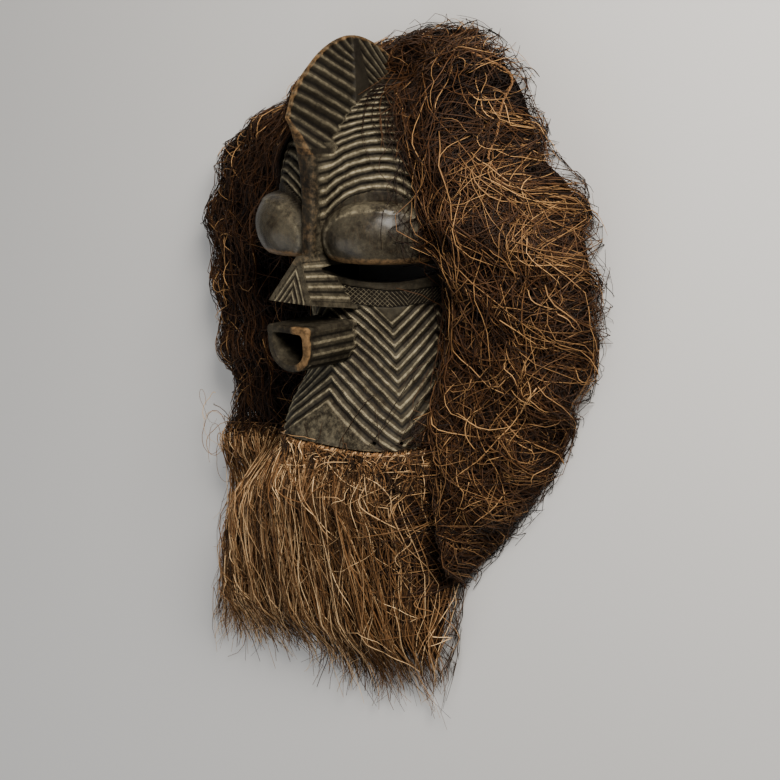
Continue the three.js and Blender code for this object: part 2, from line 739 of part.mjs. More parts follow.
const group = new THREE.Group();
group.add(
  named("wooden_mask", woodenMask(), WOOD_COLOUR, 0.6),
  named("raffia_mane", mane(), MANE_COLOUR, 0.9),
  named("raffia_beard", beard(0), BEARD_COLOUR, 0.85),
  named("beard_header_cord", headerCord(), CORD_COLOUR, 0.85),
);

// Lay the mask on the ground, centred on its bounding box
const bounds = new THREE.Box3().setFromObject(group);
const middle = bounds.getCenter(new THREE.Vector3());
group.position.set(-middle.x, -middle.y, -bounds.min.z);
group.updateMatrixWorld(true);

export default group;
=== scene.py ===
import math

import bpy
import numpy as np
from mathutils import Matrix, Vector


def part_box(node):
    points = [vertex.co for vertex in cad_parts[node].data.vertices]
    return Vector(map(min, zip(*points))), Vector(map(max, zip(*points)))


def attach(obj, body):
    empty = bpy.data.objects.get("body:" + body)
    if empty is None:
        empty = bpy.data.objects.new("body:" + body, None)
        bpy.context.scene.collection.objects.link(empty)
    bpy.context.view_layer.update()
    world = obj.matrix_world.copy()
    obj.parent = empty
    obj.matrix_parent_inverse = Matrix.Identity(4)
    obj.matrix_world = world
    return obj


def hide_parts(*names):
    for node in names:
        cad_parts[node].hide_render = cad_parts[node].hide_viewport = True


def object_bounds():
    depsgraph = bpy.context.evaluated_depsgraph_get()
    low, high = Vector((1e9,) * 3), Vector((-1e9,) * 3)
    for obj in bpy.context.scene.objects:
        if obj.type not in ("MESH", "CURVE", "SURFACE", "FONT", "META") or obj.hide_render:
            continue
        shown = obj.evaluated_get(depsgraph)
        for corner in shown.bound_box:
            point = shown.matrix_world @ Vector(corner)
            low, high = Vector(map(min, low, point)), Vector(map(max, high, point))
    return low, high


bl_info = {
    "name": "Kifwebe mask",
    "version": (1, 0, 0),
    "blender": (4, 5, 0),
    "location": "View3D > Sidebar > Mask",
    "description": "Carves a wooden face mask, lays its raffia mane and beard and sets it on a pale floor",
    "category": "Add Mesh",
}

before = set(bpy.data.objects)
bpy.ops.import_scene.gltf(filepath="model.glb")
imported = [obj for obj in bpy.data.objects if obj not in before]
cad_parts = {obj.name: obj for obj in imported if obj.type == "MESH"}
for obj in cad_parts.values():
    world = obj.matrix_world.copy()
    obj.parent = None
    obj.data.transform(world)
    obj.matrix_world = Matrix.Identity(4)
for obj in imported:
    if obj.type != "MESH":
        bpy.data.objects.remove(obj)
CAD_BOX = [[float(v) for v in corner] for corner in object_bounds()]

# Shapes are worked out in millimetres in the mask's own frame: +X to its left, +Y up the face from
# the level of the eyes, +Z out of the face from the plane of the back rim.
MM = 0.001
CHIN_Y = -195.0
CROWN_Y = 188.0
BROW_Y = 64.0
WOOD_LOW, WOOD_HIGH = (np.array(corner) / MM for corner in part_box("wooden_mask"))
SHIFT = np.array([(WOOD_LOW[0] + WOOD_HIGH[0]) / 2, WOOD_LOW[1] - CHIN_Y, WOOD_LOW[2]])
FLOOR = -WOOD_LOW[2]

# The face from the chin up: level, half width, depth and squareness of the cross-section
FACE_LEVELS = np.array([
    (CHIN_Y, 100, 138, 3.4),
    (-165, 100, 133, 2.7),
    (-130, 97, 126, 1.85),
    (-100, 97, 123, 1.62),
    (-60, 98, 126, 1.62),
    (-25, 102, 131, 1.75),
    (10, 112, 138, 2.1),
    (BROW_Y, 118, 142, 2.35),
])
# Thickness of the wood, and the share of the lids' bulge that the sockets behind them have
WALL = 11.0
SOCKET = 0.7
# The skin has fine cells as far round as this turn, and plain ones behind it
FINE_TURN = 74
# Distance in mm over which the attribute for the incised band runs from 0 to 1
BAND_RANGE = 6.0
# Edges of the carving that turn by more than this stay sharp
SHARP_ANGLE = math.radians(48)

# Eyelids: middle turn and level, reach to the nose and outwards, height, level of the cut edge, bulge
LID = {"turn": 29, "level": 25, "reach_in": 28, "reach_out": 27, "rise": 42, "shelf": 3, "bulge": 32}
# Slits under them: turns of the two corners, levels of the upper and lower edge and of the corners
SLIT = {"from": 3, "to": 61, "crown": 1, "floor": -20.5, "corner": -6}

# Incised band under the eye: its upper and lower edge at turns from the middle
BAND_TURNS = np.array([7, 14, 22, 32, 48, 68], float)
BAND_TOP = np.array([-22, -25, -27, -30, -29, -24], float)
BAND_LOW = np.array([-41, -44, -47, -48, -46, -42], float)

# Crest, as (y, z): its curved edge, its way through the skull and the point it is drawn in towards
CREST_EDGE = [(150, 187), (174, 177), (196, 158), (219, 127), (230, 88), (218, 45), (190, 3)]
CREST_ROOT = [(162, 6), (118, 30), (88, 90), (98, 146), (114, 160)]
CREST_FOCUS = np.array([118.0, 70.0])
CREST_POINTS = 330
# Half the crest's thickness at its edge, and how much it grows towards the focus
CREST_EDGE_HALF = 2.6
CREST_SLOPE = 12.0
# Strands keep out of this reach from the focus and this distance from the middle plane
CREST_CLEAR_REACH = 118
CREST_CLEAR_HALF = 8.0
# Each groove of the crest from its end by the edge to its end on the skull, as (y, z)
CREST_FRONT = np.array([
    ((147, 190), (114, 136)),
    ((155, 186), (122, 129)),
    ((166, 183), (132, 115)),
    ((175, 175), (144, 107)),
    ((184, 168), (151, 97)),
    ((195, 159), (160, 88)),
    ((203, 151), (174, 89)),
    ((212, 142), (187, 89)),
    ((219, 131), (199, 91)),
    ((226, 120), (207, 91)),
    ((230, 105), (216, 90)),
], float)
CREST_BACK = np.array([
    ((226, 79), (180, 33)),
    ((222, 62), (178, 24)),
    ((210, 42), (180, 14)),
    ((196, 20), (178, 4)),
], float)
# Plain wedge between the two fans of grooves: its tip at the edge and its two corners by the skull
CREST_WEDGE = ((228, 84), (164, 88), (162, 66))

# Ridge down the forehead: level, front, half width, root
RIDGE = np.array([
    (149, 186, 2.2, 172),
    (138, 178, 5, 152),
    (126, 171, 7.6, 132),
    (112, 164, 9.5, 116),
    (66, 159, 8.5, 116),
    (14, 161, 6.5, 116),
    (0, 162, 5, 116),
])
RIDGE_SPREAD = 4.0

# Nose and mouth: levels, heights and half widths of the front, then of the root
NOSE = {"top": 9, "top_z": 172, "top_half": 2, "base": -37.5, "base_z": 186, "base_half": 29}
NOSE_ROOT = {"top_half": 12, "base_half": 32, "drop": 12}
NOSE_FRONT_SHARE = 0.045
FEATURE_ROOT_Z = 112.0
MOUTH = {"top": -61, "bottom": -110, "half": 28, "front_top": 192, "front_bottom": 186, "wall": 8.5}
MOUTH_CORNER = 5.0
MOUTH_GROOVE_FIRST = -65
MOUTH_GROOVE_PITCH = 12.5

# Arched grooves over the eyes: levels of their tops, and how steeply each falls to either side
BROW = {"first": 77, "pitch": 9, "even": 6, "upper_pitch": 6.4, "closing": 0.12, "turn": 30, "reach": 26}
BROW_FALL = {"inner": 31, "inner_less": 2.6, "inner_least": 4, "outer": 56, "outer_ratio": 0.84}

# Zigzag channels of the cheeks and chin: the level of the first, and the turns of valley and peak
CHEEK_LINES = 12
CHEEK_PITCH = 12.4
CHEEK_FIRST = -66.0
CHEEK_VALLEY = 32
CHEEK_VALLEY_SHIFT = 0.75
CHEEK_PEAK = 61.0
CHEEK_TOP = -47.0
CHEEK_INNER_SLOPES = (2.1, 1.58)
CHEEK_OUTER_SLOPE = 1.75

# Two holes in the rim on each side of the chin, for the cord
TIE_TURNS = (26, 38, -26, -38)
TIE_RADIUS = 2.3
TIE_LEVEL = CHIN_Y + 7

# Mane: outline on the ground from the near chin over the crown, and heights at shares of the way,
# where it touches the wood and on its hump
MANE_OUTLINE = np.array([
    (78, -362), (98, -338), (134, -296), (168, -254), (196, -206), (222, -152), (240, -96),
    (246, -36), (236, 28), (216, 76), (184, 100), (170, 134), (156, 174), (124, 214), (80, 232),
    (32, 232), (-12, 220), (-66, 206), (-118, 182), (-158, 156), (-218, 132), (-268, 90),
    (-290, 36), (-290, -40), (-278, -110), (-264, -170), (-252, -225), (-258, -285),
], float)
MANE_SHARES = [0, 0.06, 0.17, 0.24, 0.3, 0.36, 0.42, 0.5, 0.58, 0.7, 1]
MANE_TOUCH = [46, 58, 36, 74, 98, 86, 46, 2, 16, 32, 34]
MANE_HUMP = [62, 74, 68, 88, 108, 98, 64, 22, 36, 48, 46]
# Shares of the way out at which a section of the mane has its points, and ripples round the whole
MANE_STOPS = np.array([-0.02, 0.0, 0.3, 0.66, 0.92, 1.0])
MANE_LOCKS = 18
# Shares of the way round at which the three groups of strands have their roots
MANE_SPANS = {"near": (0.0, 0.34), "crown": (0.32, 0.6), "far": (0.58, 0.955)}
# Depth of the matted body under the loose strands
MANE_SINK = 15.0
# Paths are held in towards this point: they bend from a little inside the outline, or fold back
MANE_HEART = np.array([-20.0, -60.0])
OUTLINE_SOFT = 14.0
FOLD_BACK = 1.6
# Loose inner edge of the mane over the wood: levels and distances from the middle plane
EDGE_LEVELS = np.array([-200, -185, -168, -129, -87, -44, -4, 29, 67, 106, 135, 163, 188], float)
EDGE_OUT = np.array([92, 97, 100, 98, 99, 101, 109, 118, 111, 94, 76, 59, 30], float)
# How far the mane's inner band reaches in under the rim
MANE_UNDER = 16.0

# Plan of the thin cord that lies on the mane beside the crown
MANE_CORD = [(104, 218), (128, 206), (146, 186), (155, 162), (158, 136), (163, 114), (178, 98)]
MANE_CORD_RISE = 8

# Beard: level, middle line, half width, upper and lower height
BEARD = np.array([
    (-209, 0, 96, 139, 30),
    (-240, -26, 124, 132, 0),
    (-285, -56, 140, 112, FLOOR),
    (-345, -86, 150, 84, FLOOR),
    (-405, -102, 160, 54, FLOOR),
    (-460, -110, 166, 28, FLOOR),
    (-504, -110, 160, 4, FLOOR),
])
BEARD_LOCKS = 12
# Depth of its matted body under the loose strands
BEARD_SINK = 7.0
# Level of its end, and the lowest level that a strand may reach
BEARD_END = -505.0
BEARD_LIMIT = -549.0
# Ragged lower end of the beard: shares across and levels
BEARD_ENDS = np.array([
    (-1, -512), (-0.65, -522), (-0.25, -488), (0.05, -508), (0.2, -534), (0.6, -526), (1, -500),
], float)
# The two ends of its foot, at the far and the near side
BEARD_FOOT = (-298.0, 50.0)
# Strands fold back from a limit on the far side and from the near edge, each by its own share
BEARD_FAR_LIMIT = BEARD_FOOT[0] - 27
BEARD_FOLD_FAR = 1.3
BEARD_FOLD_NEAR = 1.5
# Head of the beard from the far mane's end to the near side of the chin: share across, place
BEARD_HEAD = np.array([
    (-1.0, -250, -232, 26), (-0.76, -176, -219, 44), (-0.52, -99, -207, 58), (-0.47, -92, -205, 84),
    (-0.34, -75, -205, 112), (-0.14, -50, -205, 127), (0.26, 0, -205, 133), (0.65, 50, -205, 127),
    (0.84, 75, -205, 112), (0.95, 92, -205, 84), (1.0, 98, -207, 58),
])

# Header cord: turn at its two ends, and its middle line's place inside the skin and below the chin
CORD_REACH = 78.0
CORD_INSET = 6.0
CORD_BELOW_CHIN = 5.9
# The two cords: distance of each ply from the middle line, its radius, turns, sides and tones
HEADER_PLIES = {"apart": 2.3, "radius": 2.35, "turns": 26, "sides": 10, "tones": (0.45, 0.6)}
THIN_PLIES = {"apart": 0.8, "radius": 0.85, "turns": 24, "sides": 6, "tones": (0.2, 0.35)}

# Space between the wood and the mane's matted body
KEEP_OFF_WOOD = 0.8

# Strands of each smaller group
EDGE_COUNT = 900
STRAY_COUNT = 380
BEARD_HEAD_COUNT = 430
CHIN_TANGLE_COUNT = 900
LOOP_COUNT = 9
LOOP_FAR_LIMIT = -322
# How far a stray may pass the box of the solids
STRAY_PAST_BOX = 14

# Starts of the random draws: the uneven surfaces of the wood and the matted fibre, then the strands
SEED = {
    "skin": 1, "skin_fine": 2, "crest": 3, "ridge": 4, "hollow": 5, "bore": 9,
    "hand_broad": 11, "hand_fine": 12, "hand_force": 13, "fan": 14,
    "mane_broad": 21, "mane_fine": 22, "beard_broad": 31, "beard_end": 32,
    "near": 101, "crown": 102, "far": 103, "stray": 104, "edge": 105,
    "beard_upper": 201, "beard_lower": 202, "beard_head": 203, "chin_tangle": 204, "loops": 205,
}

# Blacks of the wood: soot with painted shade on the crest, painted shade on the band, its border, painted
# shade in grooves and hollows, and the bottom of a crack
SOOT_AND_SHADE_BLACK = (0.007, 0.0055, 0.0038)
BAND_SHADE_BLACK = (0.011, 0.0085, 0.006)
BORDER_BLACK = (0.006, 0.005, 0.004)
RECESS_SHADE_BLACK = (0.005, 0.004, 0.003)
CRACK_BLACK = (0.004, 0.003, 0.002)

# Stage: half the side of the floor, the two lamps and the light of the room
FLOOR_REACH = 40000.0
KEY_LIGHT = {"place": (1330, 1100, 1090), "size": 0.75, "colour": (1.0, 0.97, 0.93)}
FILL_LIGHT = {"place": (-700, -1000, 1450), "size": 1.6, "colour": (0.93, 0.96, 1.0)}
ROOM_COLOUR = (0.95, 0.97, 1.0)
ROOM_LIGHT = 0.12

# Camera of the photograph: turned to the mask's left, raised, and aimed at a point behind the chin
CAMERA_TURN = math.radians(40)
CAMERA_RISE = math.radians(12)
CAMERA_DISTANCE = 2000.0
CAMERA_AIM = np.array([29.0, -145.0, 60.0])
IMAGE_SIDE = 780
FOCAL_PIXELS = 1860
SENSOR_WIDTH = 36.0
PICTURE_UP = np.array([0.0, 1.0, 0.0])


def mix(a, b, t):
    """The value at share t of the way from a to b."""
    return a + (b - a) * t


def points_at(x, y, z):
    """Points from three coordinates of any shapes that fit each other."""
    return np.stack(np.broadcast_arrays(x, y, z), -1)


def smooth_step(low, high, x):
    """3t^2 - 2t^3 of the share t of the way from low to high, held between 0 and 1."""
    t = np.clip((x - low) / (high - low), 0, 1)
    return t * t * (3 - 2 * t)


def smooth_run(places, values, x):
    """Cubic Hermite pieces through stations, each slope taken between the two neighbours."""
    places = np.asarray(places, float)
    values = np.asarray(values, float)
    last = len(places) - 1
    index = np.arange(last + 1)
    low = np.maximum(index - 1, 0)
    high = np.minimum(index + 1, last)
    slopes = (values[high] - values[low]) / (places[high] - places[low])
    x = np.clip(x, places[0], places[last])
    k = np.clip(np.searchsorted(places, x, side="left") - 1, 0, last - 1)
    step = places[k + 1] - places[k]
    t = (x - places[k]) / step
    return (
        values[k] * (1 + 2 * t) * (1 - t) ** 2
        + slopes[k] * step * t * (1 - t) ** 2
        + values[k + 1] * t * t * (3 - 2 * t)
        + slopes[k + 1] * step * t * t * (t - 1)
    )


def wobble(points, scale, seed):
    """Gentle unevenness: the mean of six sine waves in random directions, scale mm long or so."""
    random = np.random.default_rng(seed)
    total = 0
    for _ in range(6):
        direction = random.normal(size=3)
        direction /= np.linalg.norm(direction) * scale * random.uniform(0.6, 1.6) / (2 * math.pi)
        total = total + np.sin(points @ direction + random.uniform(0, 2 * math.pi))
    return total / 6


def cross_section(y, inset=0.0):
    """Half width, depth and squareness of the head at a level, drawn in to the crown above the brow.

    The depth falls there as a quarter ellipse, (1 - t^2)^0.5, and the width fuller, (1 - t^2.5)^0.4.
    """
    level = np.minimum(y, BROW_Y)
    t = np.clip((y - BROW_Y) / (CROWN_Y - inset - BROW_Y), 0, 0.999)
    levels = FACE_LEVELS[:, 0]
    half = (smooth_run(levels, FACE_LEVELS[:, 1], level) - inset) * (1 - t ** 2.5) ** 0.4
    depth = (smooth_run(levels, FACE_LEVELS[:, 2], level) - inset) * np.sqrt(1 - t * t)
    return half, depth, smooth_run(levels, FACE_LEVELS[:, 3], level)


def lid_share(turn, y):
    """Square of the distance from the eyelid's middle, 1 on its outline."""
    away = np.abs(turn) - LID["turn"]
    reach = np.where(away < 0, LID["reach_in"], LID["reach_out"])
    return (away / reach) ** 2 + ((y - LID["level"]) / LID["rise"]) ** 2


def lid_swell(turn, y):
    """Bulge times (1 - e^2)^p inside the lid's ellipse, p growing towards the nose for a gentler rise."""
    inward = np.clip((LID["turn"] - np.abs(turn)) / LID["reach_in"], 0, 1)
    return LID["bulge"] * np.clip(1 - lid_share(turn, y), 0, 1) ** (0.52 + 0.6 * inward)


def head_radius(turn, y, inset=0.0):
    """Superellipse radius ((|sin|/w)^n + (|cos|/d)^n)^(-1/n) at a turn in degrees and a level."""
    half, depth, square = cross_section(y, inset)
    side = np.abs(np.sin(np.radians(turn))) / half
    front = np.abs(np.cos(np.radians(turn))) / depth
    return (side ** square + front ** square) ** (-1 / square)


def around(turn, y, radius):
    """Points at a turn from the middle plane, a level and a distance from the upright axis."""
    angle = np.radians(turn)
    return points_at(radius * np.sin(angle), y, radius * np.cos(angle))


def ray(turn):
    """Level direction of length 1 away from the upright axis at a turn."""
    return around(turn, 0.0, 1.0)


def on_skin(turn, y):
    """Points of the head's plain skin."""
    return around(turn, y, head_radius(turn, y))


def skin_tilt(turn, y):
    """How much of the surface's normal points along the radius."""
    d = 0.5
    along_turn = on_skin(turn + d, y) - on_skin(turn - d, y)
    along_y = on_skin(turn, y + d) - on_skin(turn, y - d)
    normal = np.cross(along_turn, along_y)
    normal /= np.linalg.norm(normal, axis=-1, keepdims=True)
    return np.abs(np.sum(normal * ray(turn), -1))


def brow_level(k, turn):
    """Level of brow groove k: an arch over the eye, flatter from one groove to the next."""
    upper = np.maximum(k - BROW["even"], 0)
    apex = BROW["first"] + BROW["pitch"] * np.minimum(k, BROW["even"])
    apex = apex + BROW["upper_pitch"] * upper - BROW["closing"] * upper ** 2
    away = (turn - BROW["turn"]) / BROW["reach"]
    inner = np.maximum(BROW_FALL["inner"] - BROW_FALL["inner_less"] * k, BROW_FALL["inner_least"])
    outer = BROW_FALL["outer"] * BROW_FALL["outer_ratio"] ** k
    return apex - np.where(away < 0, inner * np.abs(away) ** 2.2, outer * away * away)


def cheek_level(k, turn):
    """Level of cheek line k: down from the nose to a valley, up to a peak and down again."""
    valley = CHEEK_VALLEY + CHEEK_VALLEY_SHIFT * k
    low = CHEEK_FIRST - CHEEK_PITCH * k
    inner = low + mix(*CHEEK_INNER_SLOPES, k / CHEEK_LINES) * (valley - turn)
    outer = low + CHEEK_OUTER_SLOPE * (CHEEK_PEAK - valley - np.abs(CHEEK_PEAK - turn))
    return np.where(turn < valley, inner, outer)


def line_number(level_of, turn, y, low, high, rising):
    """The number k at which level_of(k, turn) is y, found by halving the range 16 times."""
    below = np.full(np.shape(y), float(low))
    above = np.full(np.shape(y), float(high))
    for _ in range(16):
        middle = (below + above) / 2
        past = (level_of(middle, turn) > y) == rising
        above = np.where(past, middle, above)
        below = np.where(past, below, middle)
    return (below + above) / 2


def groove_round(k, depth):
    """Rounded beads with narrow grooves at whole numbers."""
    share = np.abs(k - np.round(k)) * 2
    return depth * (0.6 * (1 - share) ** 1.25 + 0.4 * (1 - share) ** 4)


def groove_wave(k, depth):
    """Rounded ridges at whole numbers with grooves as wide between them."""
    return depth * (0.5 - 0.5 * np.cos(2 * math.pi * k))


def groove_gouge(k, depth):
    """Gouged channels between sharp crests at whole numbers."""
    share = 1 - np.abs(k - np.round(k)) * 2
    return depth * (1 - share ** 1.7)


def hand_cut(turn, y):
    """How far the carver's hand strayed from the even line numbers, and how deep the cut went."""
    place = around(turn, y, 120.0)
    stray = 0.06 * wobble(place, 30, SEED["hand_broad"]) + 0.06 * wobble(place, 8, SEED["hand_fine"])
    return stray, 1 + 0.5 * wobble(place, 22, SEED["hand_force"])


def carved_head(turn, y, brow_depth, cheek_depth):
    """Depth of the grooves on the head, the line number with crests at whole numbers, and two masks.

    The first mask is 1 on all the carving, the second on the grooves over the eyes alone.
    """
    near = np.abs(turn)
    stray, force = hand_cut(turn, y)
    brow = line_number(brow_level, near, y, -3, 18, True) + stray
    in_brow = smooth_step(-0.15, 0.1, brow) * smooth_step(15.3, 14.9, brow) * (near < 80)
    in_brow = in_brow * (lid_share(turn, y) > 1) * (y > 5)
    cheek = line_number(cheek_level, near, y, -3, 16, False) + 0.7 * stray
    in_cheek = smooth_step(-0.3, 0.02, cheek) * smooth_step(12.25, 12.0, cheek)
    in_cheek = in_cheek * smooth_step(CHEEK_TOP + 1.5, CHEEK_TOP - 0.5, y) * (near < 86)
    depth = in_brow * (0.9 + groove_round(brow, brow_depth))
    depth = depth + in_cheek * (0.8 + groove_gouge(cheek, cheek_depth))
    depth = depth * force
    line = np.where(in_brow > in_cheek, brow + 0.5, cheek)
    return depth, line, np.maximum(in_brow, in_cheek), in_brow


def band_depth(turn, y):
    """How far inside the incised band under the eye a place lies, in mm, negative outside."""
    near = np.abs(turn)
    top = np.interp(near, BAND_TURNS, BAND_TOP)
    low = np.interp(near, BAND_TURNS, BAND_LOW)
    along = np.minimum(near - BAND_TURNS[0], BAND_TURNS[-1] - near) * 2
    return np.minimum(np.minimum(top - y, y - low), along)


def fan_number(lines, y, z):
    """Number of the groove line under each place, by its distances from the two lines beside it."""
    starts = lines[:, 0]
    ways = lines[:, 1] - starts
    ways = ways / np.linalg.norm(ways, axis=1, keepdims=True)
    dy = y[..., None] - starts[:, 0]
    dz = z[..., None] - starts[:, 1]
    side = dy * ways[:, 1] - dz * ways[:, 0]
    if side[..., 0].mean() < side[..., -1].mean():
        side = -side
    k = np.clip(np.sum(side >= 0, -1) - 1, 0, len(lines) - 2)
    here = np.take_along_axis(side, k[..., None], -1)[..., 0]
    after = np.take_along_axis(side, k[..., None] + 1, -1)[..., 0]
    return k + here / (here - after + 1e-9)


def fan_stray(y, z):
    """How far the carver's hand strayed from the even groove numbers of the crest."""
    return 0.1 * wobble(points_at(0.0, y, z), 24, SEED["fan"])


def inside_wedge(y, z):
    """1 inside the plain wedge of the crest, 0 outside, with a soft border."""
    (ty, tz), (fy, fz), (by, bz) = CREST_WEDGE
    front = tz + (fz - tz) * (ty - y) / (ty - fy) + 3
    back = tz + (bz - tz) * (ty - y) / (ty - by) - 3
    return smooth_step(front + 1.5, front - 0.5, z) * smooth_step(back - 1.5, back + 0.5, z)


def even_points(line, count, closed=False):
    """Points evenly along a line of points; a closed line ends on its start, which comes once."""
    length = np.concatenate([[0], np.cumsum(np.linalg.norm(np.diff(line, axis=0), axis=1))])
    even = np.linspace(0, length[-1], count, endpoint=not closed)
    return np.stack([np.interp(even, length, line[:, k]) for k in range(line.shape[1])], 1)


def reach_to(outline, focus, a, b):
    """Distance from a focus to a closed outline around it, in the direction of each place (a, b)."""
    way = outline - focus
    angles = np.arctan2(way[:, 1], way[:, 0])
    order = np.argsort(angles)
    turns = np.arctan2(b - focus[1], a - focus[0])
    return np.interp(turns, angles[order], np.hypot(*way.T)[order], period=2 * math.pi)


def spline(points, count):
    """Centripetal Catmull-Rom curve through points, sampled evenly along its length."""
    points = np.asarray(points, float)
    first = 2 * points[0] - points[1]
    last = 2 * points[-1] - points[-2]
    p = np.vstack([first, points, last])
    knots = np.concatenate([[0], np.cumsum(np.linalg.norm(np.diff(p, axis=0), axis=1) ** 0.5)])
    rows = []
    for k in range(len(points) - 1):
        t0, t1, t2, t3 = knots[k:k + 4]
        t = np.linspace(t1, t2, 40, endpoint=k == len(points) - 2)[:, None]
        a1 = (t1 - t) / (t1 - t0) * p[k] + (t - t0) / (t1 - t0) * p[k + 1]
        a2 = (t2 - t) / (t2 - t1) * p[k + 1] + (t - t1) / (t2 - t1) * p[k + 2]
        a3 = (t3 - t) / (t3 - t2) * p[k + 2] + (t - t2) / (t3 - t2) * p[k + 3]
        b1 = (t2 - t) / (t2 - t0) * a1 + (t - t0) / (t2 - t0) * a2
        b2 = (t3 - t) / (t3 - t1) * a2 + (t - t1) / (t3 - t1) * a3
        rows.append((t2 - t) / (t2 - t1) * b1 + (t - t1) / (t2 - t1) * b2)
    return even_points(np.vstack(rows), count)


def loft(loops):
    """Closed skin over rows of closed loops, (rows, columns, 3), with a fan over each end."""
    rows, columns, _ = loops.shape
    start = (np.arange(rows - 1) * columns)[:, None]
    here = np.arange(columns)[None, :]
    after = (here + 1) % columns
    a, b = start + here, start + after
    c, d = b + columns, a + columns
    skin = np.stack([a, b, c, a, c, d], -1).reshape(-1, 3)
    here, after = here[0], after[0]
    last = (rows - 1) * columns
    middle = np.full(columns, rows * columns)
    caps = [np.stack([after, here, middle], 1), np.stack([last + here, last + after, middle + 1], 1)]
    points = np.vstack([loops.reshape(-1, 3), loops[0].mean(0), loops[-1].mean(0)])
    return outward(points, np.vstack([skin, *caps]))


def outward(points, triangles):
    """Turns the triangles of a closed skin so that its volume counts as positive."""
    a, b, c = (points[triangles[:, k]] for k in range(3))
    if np.sum(a * np.cross(b, c)) < 0:
        triangles = triangles[:, ::-1]
    return points, triangles


def new_object(name, points, triangles, attributes=None, smooth=True):
    """A mesh object at the origin from points in the mask's frame, with number attributes."""
    mesh = bpy.data.meshes.new(name)
    count = len(triangles)
    mesh.vertices.add(len(points))
    mesh.vertices.foreach_set("co", ((points + SHIFT) * MM).astype(np.float32).ravel())
    mesh.loops.add(count * 3)
    mesh.loops.foreach_set("vertex_index", np.ascontiguousarray(triangles, np.int32).ravel())
    mesh.polygons.add(count)
    mesh.polygons.foreach_set("loop_start", np.arange(0, count * 3, 3, dtype=np.int32))
    mesh.polygons.foreach_set("use_smooth", np.full(count, smooth))
    mesh.update(calc_edges=True)
    piece = bpy.data.objects.new(name, mesh)
    bpy.context.scene.collection.objects.link(piece)
    write_attributes(piece, attributes or {})
    return piece


def write_attributes(piece, attributes):
    """Puts one number for each vertex under each name."""
    for name, values in attributes.items():
        layer = piece.data.attributes.new(name, "FLOAT", "POINT")
        layer.data.foreach_set("value", np.ascontiguousarray(values, np.float32).ravel())


def mesh_points(mesh):
    """Vertices of a mesh, back in millimetres in the mask's frame."""
    flat = np.empty(len(mesh.vertices) * 3, np.float32)
    mesh.vertices.foreach_get("co", flat)
    return flat.reshape(-1, 3) / MM - SHIFT


def join_and_cut(name, body, joined, removed):
    """Unites body with the joined solids, takes the removed ones away and returns one new object."""
    base = new_object(name, *body)
    tools = []
    for operation, solids in (("UNION", joined), ("DIFFERENCE", removed)):
        for solid in solids:
            tool = new_object(name + "_tool", *solid)
            modifier = base.modifiers.new(operation.lower(), "BOOLEAN")
            modifier.operation = operation
            modifier.solver = "MANIFOLD"
            modifier.object = tool
            tools.append(tool)
    depsgraph = bpy.context.evaluated_depsgraph_get()
    mesh = bpy.data.meshes.new_from_object(base.evaluated_get(depsgraph))
    mesh.name = name
    base.modifiers.clear()
    base.data = mesh
    for tool in tools:
        bpy.data.objects.remove(tool)
    if not len(mesh.polygons):
        raise RuntimeError(name + " came out empty")
    mesh.polygons.foreach_set("use_smooth", np.full(len(mesh.polygons), True))
    mesh.set_sharp_from_angle(angle=SHARP_ANGLE)
    return base


class Wire:
    """A shader socket that adds Math nodes when it is used in an expression."""

    def __init__(self, shading, socket):
        self.shading = shading
        self.socket = socket

    def math(self, operation, *others):
        """A Math node on this value and the others."""
        inputs = dict(enumerate((self, *others)))
        return self.shading.node("ShaderNodeMath", {"operation": operation}, inputs)

    def __add__(self, other):
        return self.math("ADD", other)

    __radd__ = __add__

    def __mul__(self, other):
        return self.math("MULTIPLY", other)

    __rmul__ = __mul__

    def __sub__(self, other):
        return self.math("SUBTRACT", other)

    def __rsub__(self, other):
        return (self * -1.0) + other

    def __truediv__(self, other):
        return self.math("DIVIDE", other)

    def clamp(self):
        """Held between 0 and 1."""
        return self.shading.node("ShaderNodeClamp", {}, {"Value": self})

    def between(self, low, high):
        """0 at low, 1 at high, smooth and held between."""
        return self.shading.node(
            "ShaderNodeMapRange", {"interpolation_type": "SMOOTHSTEP"},
            {"Value": self, "From Min": low, "From Max": high},
        )


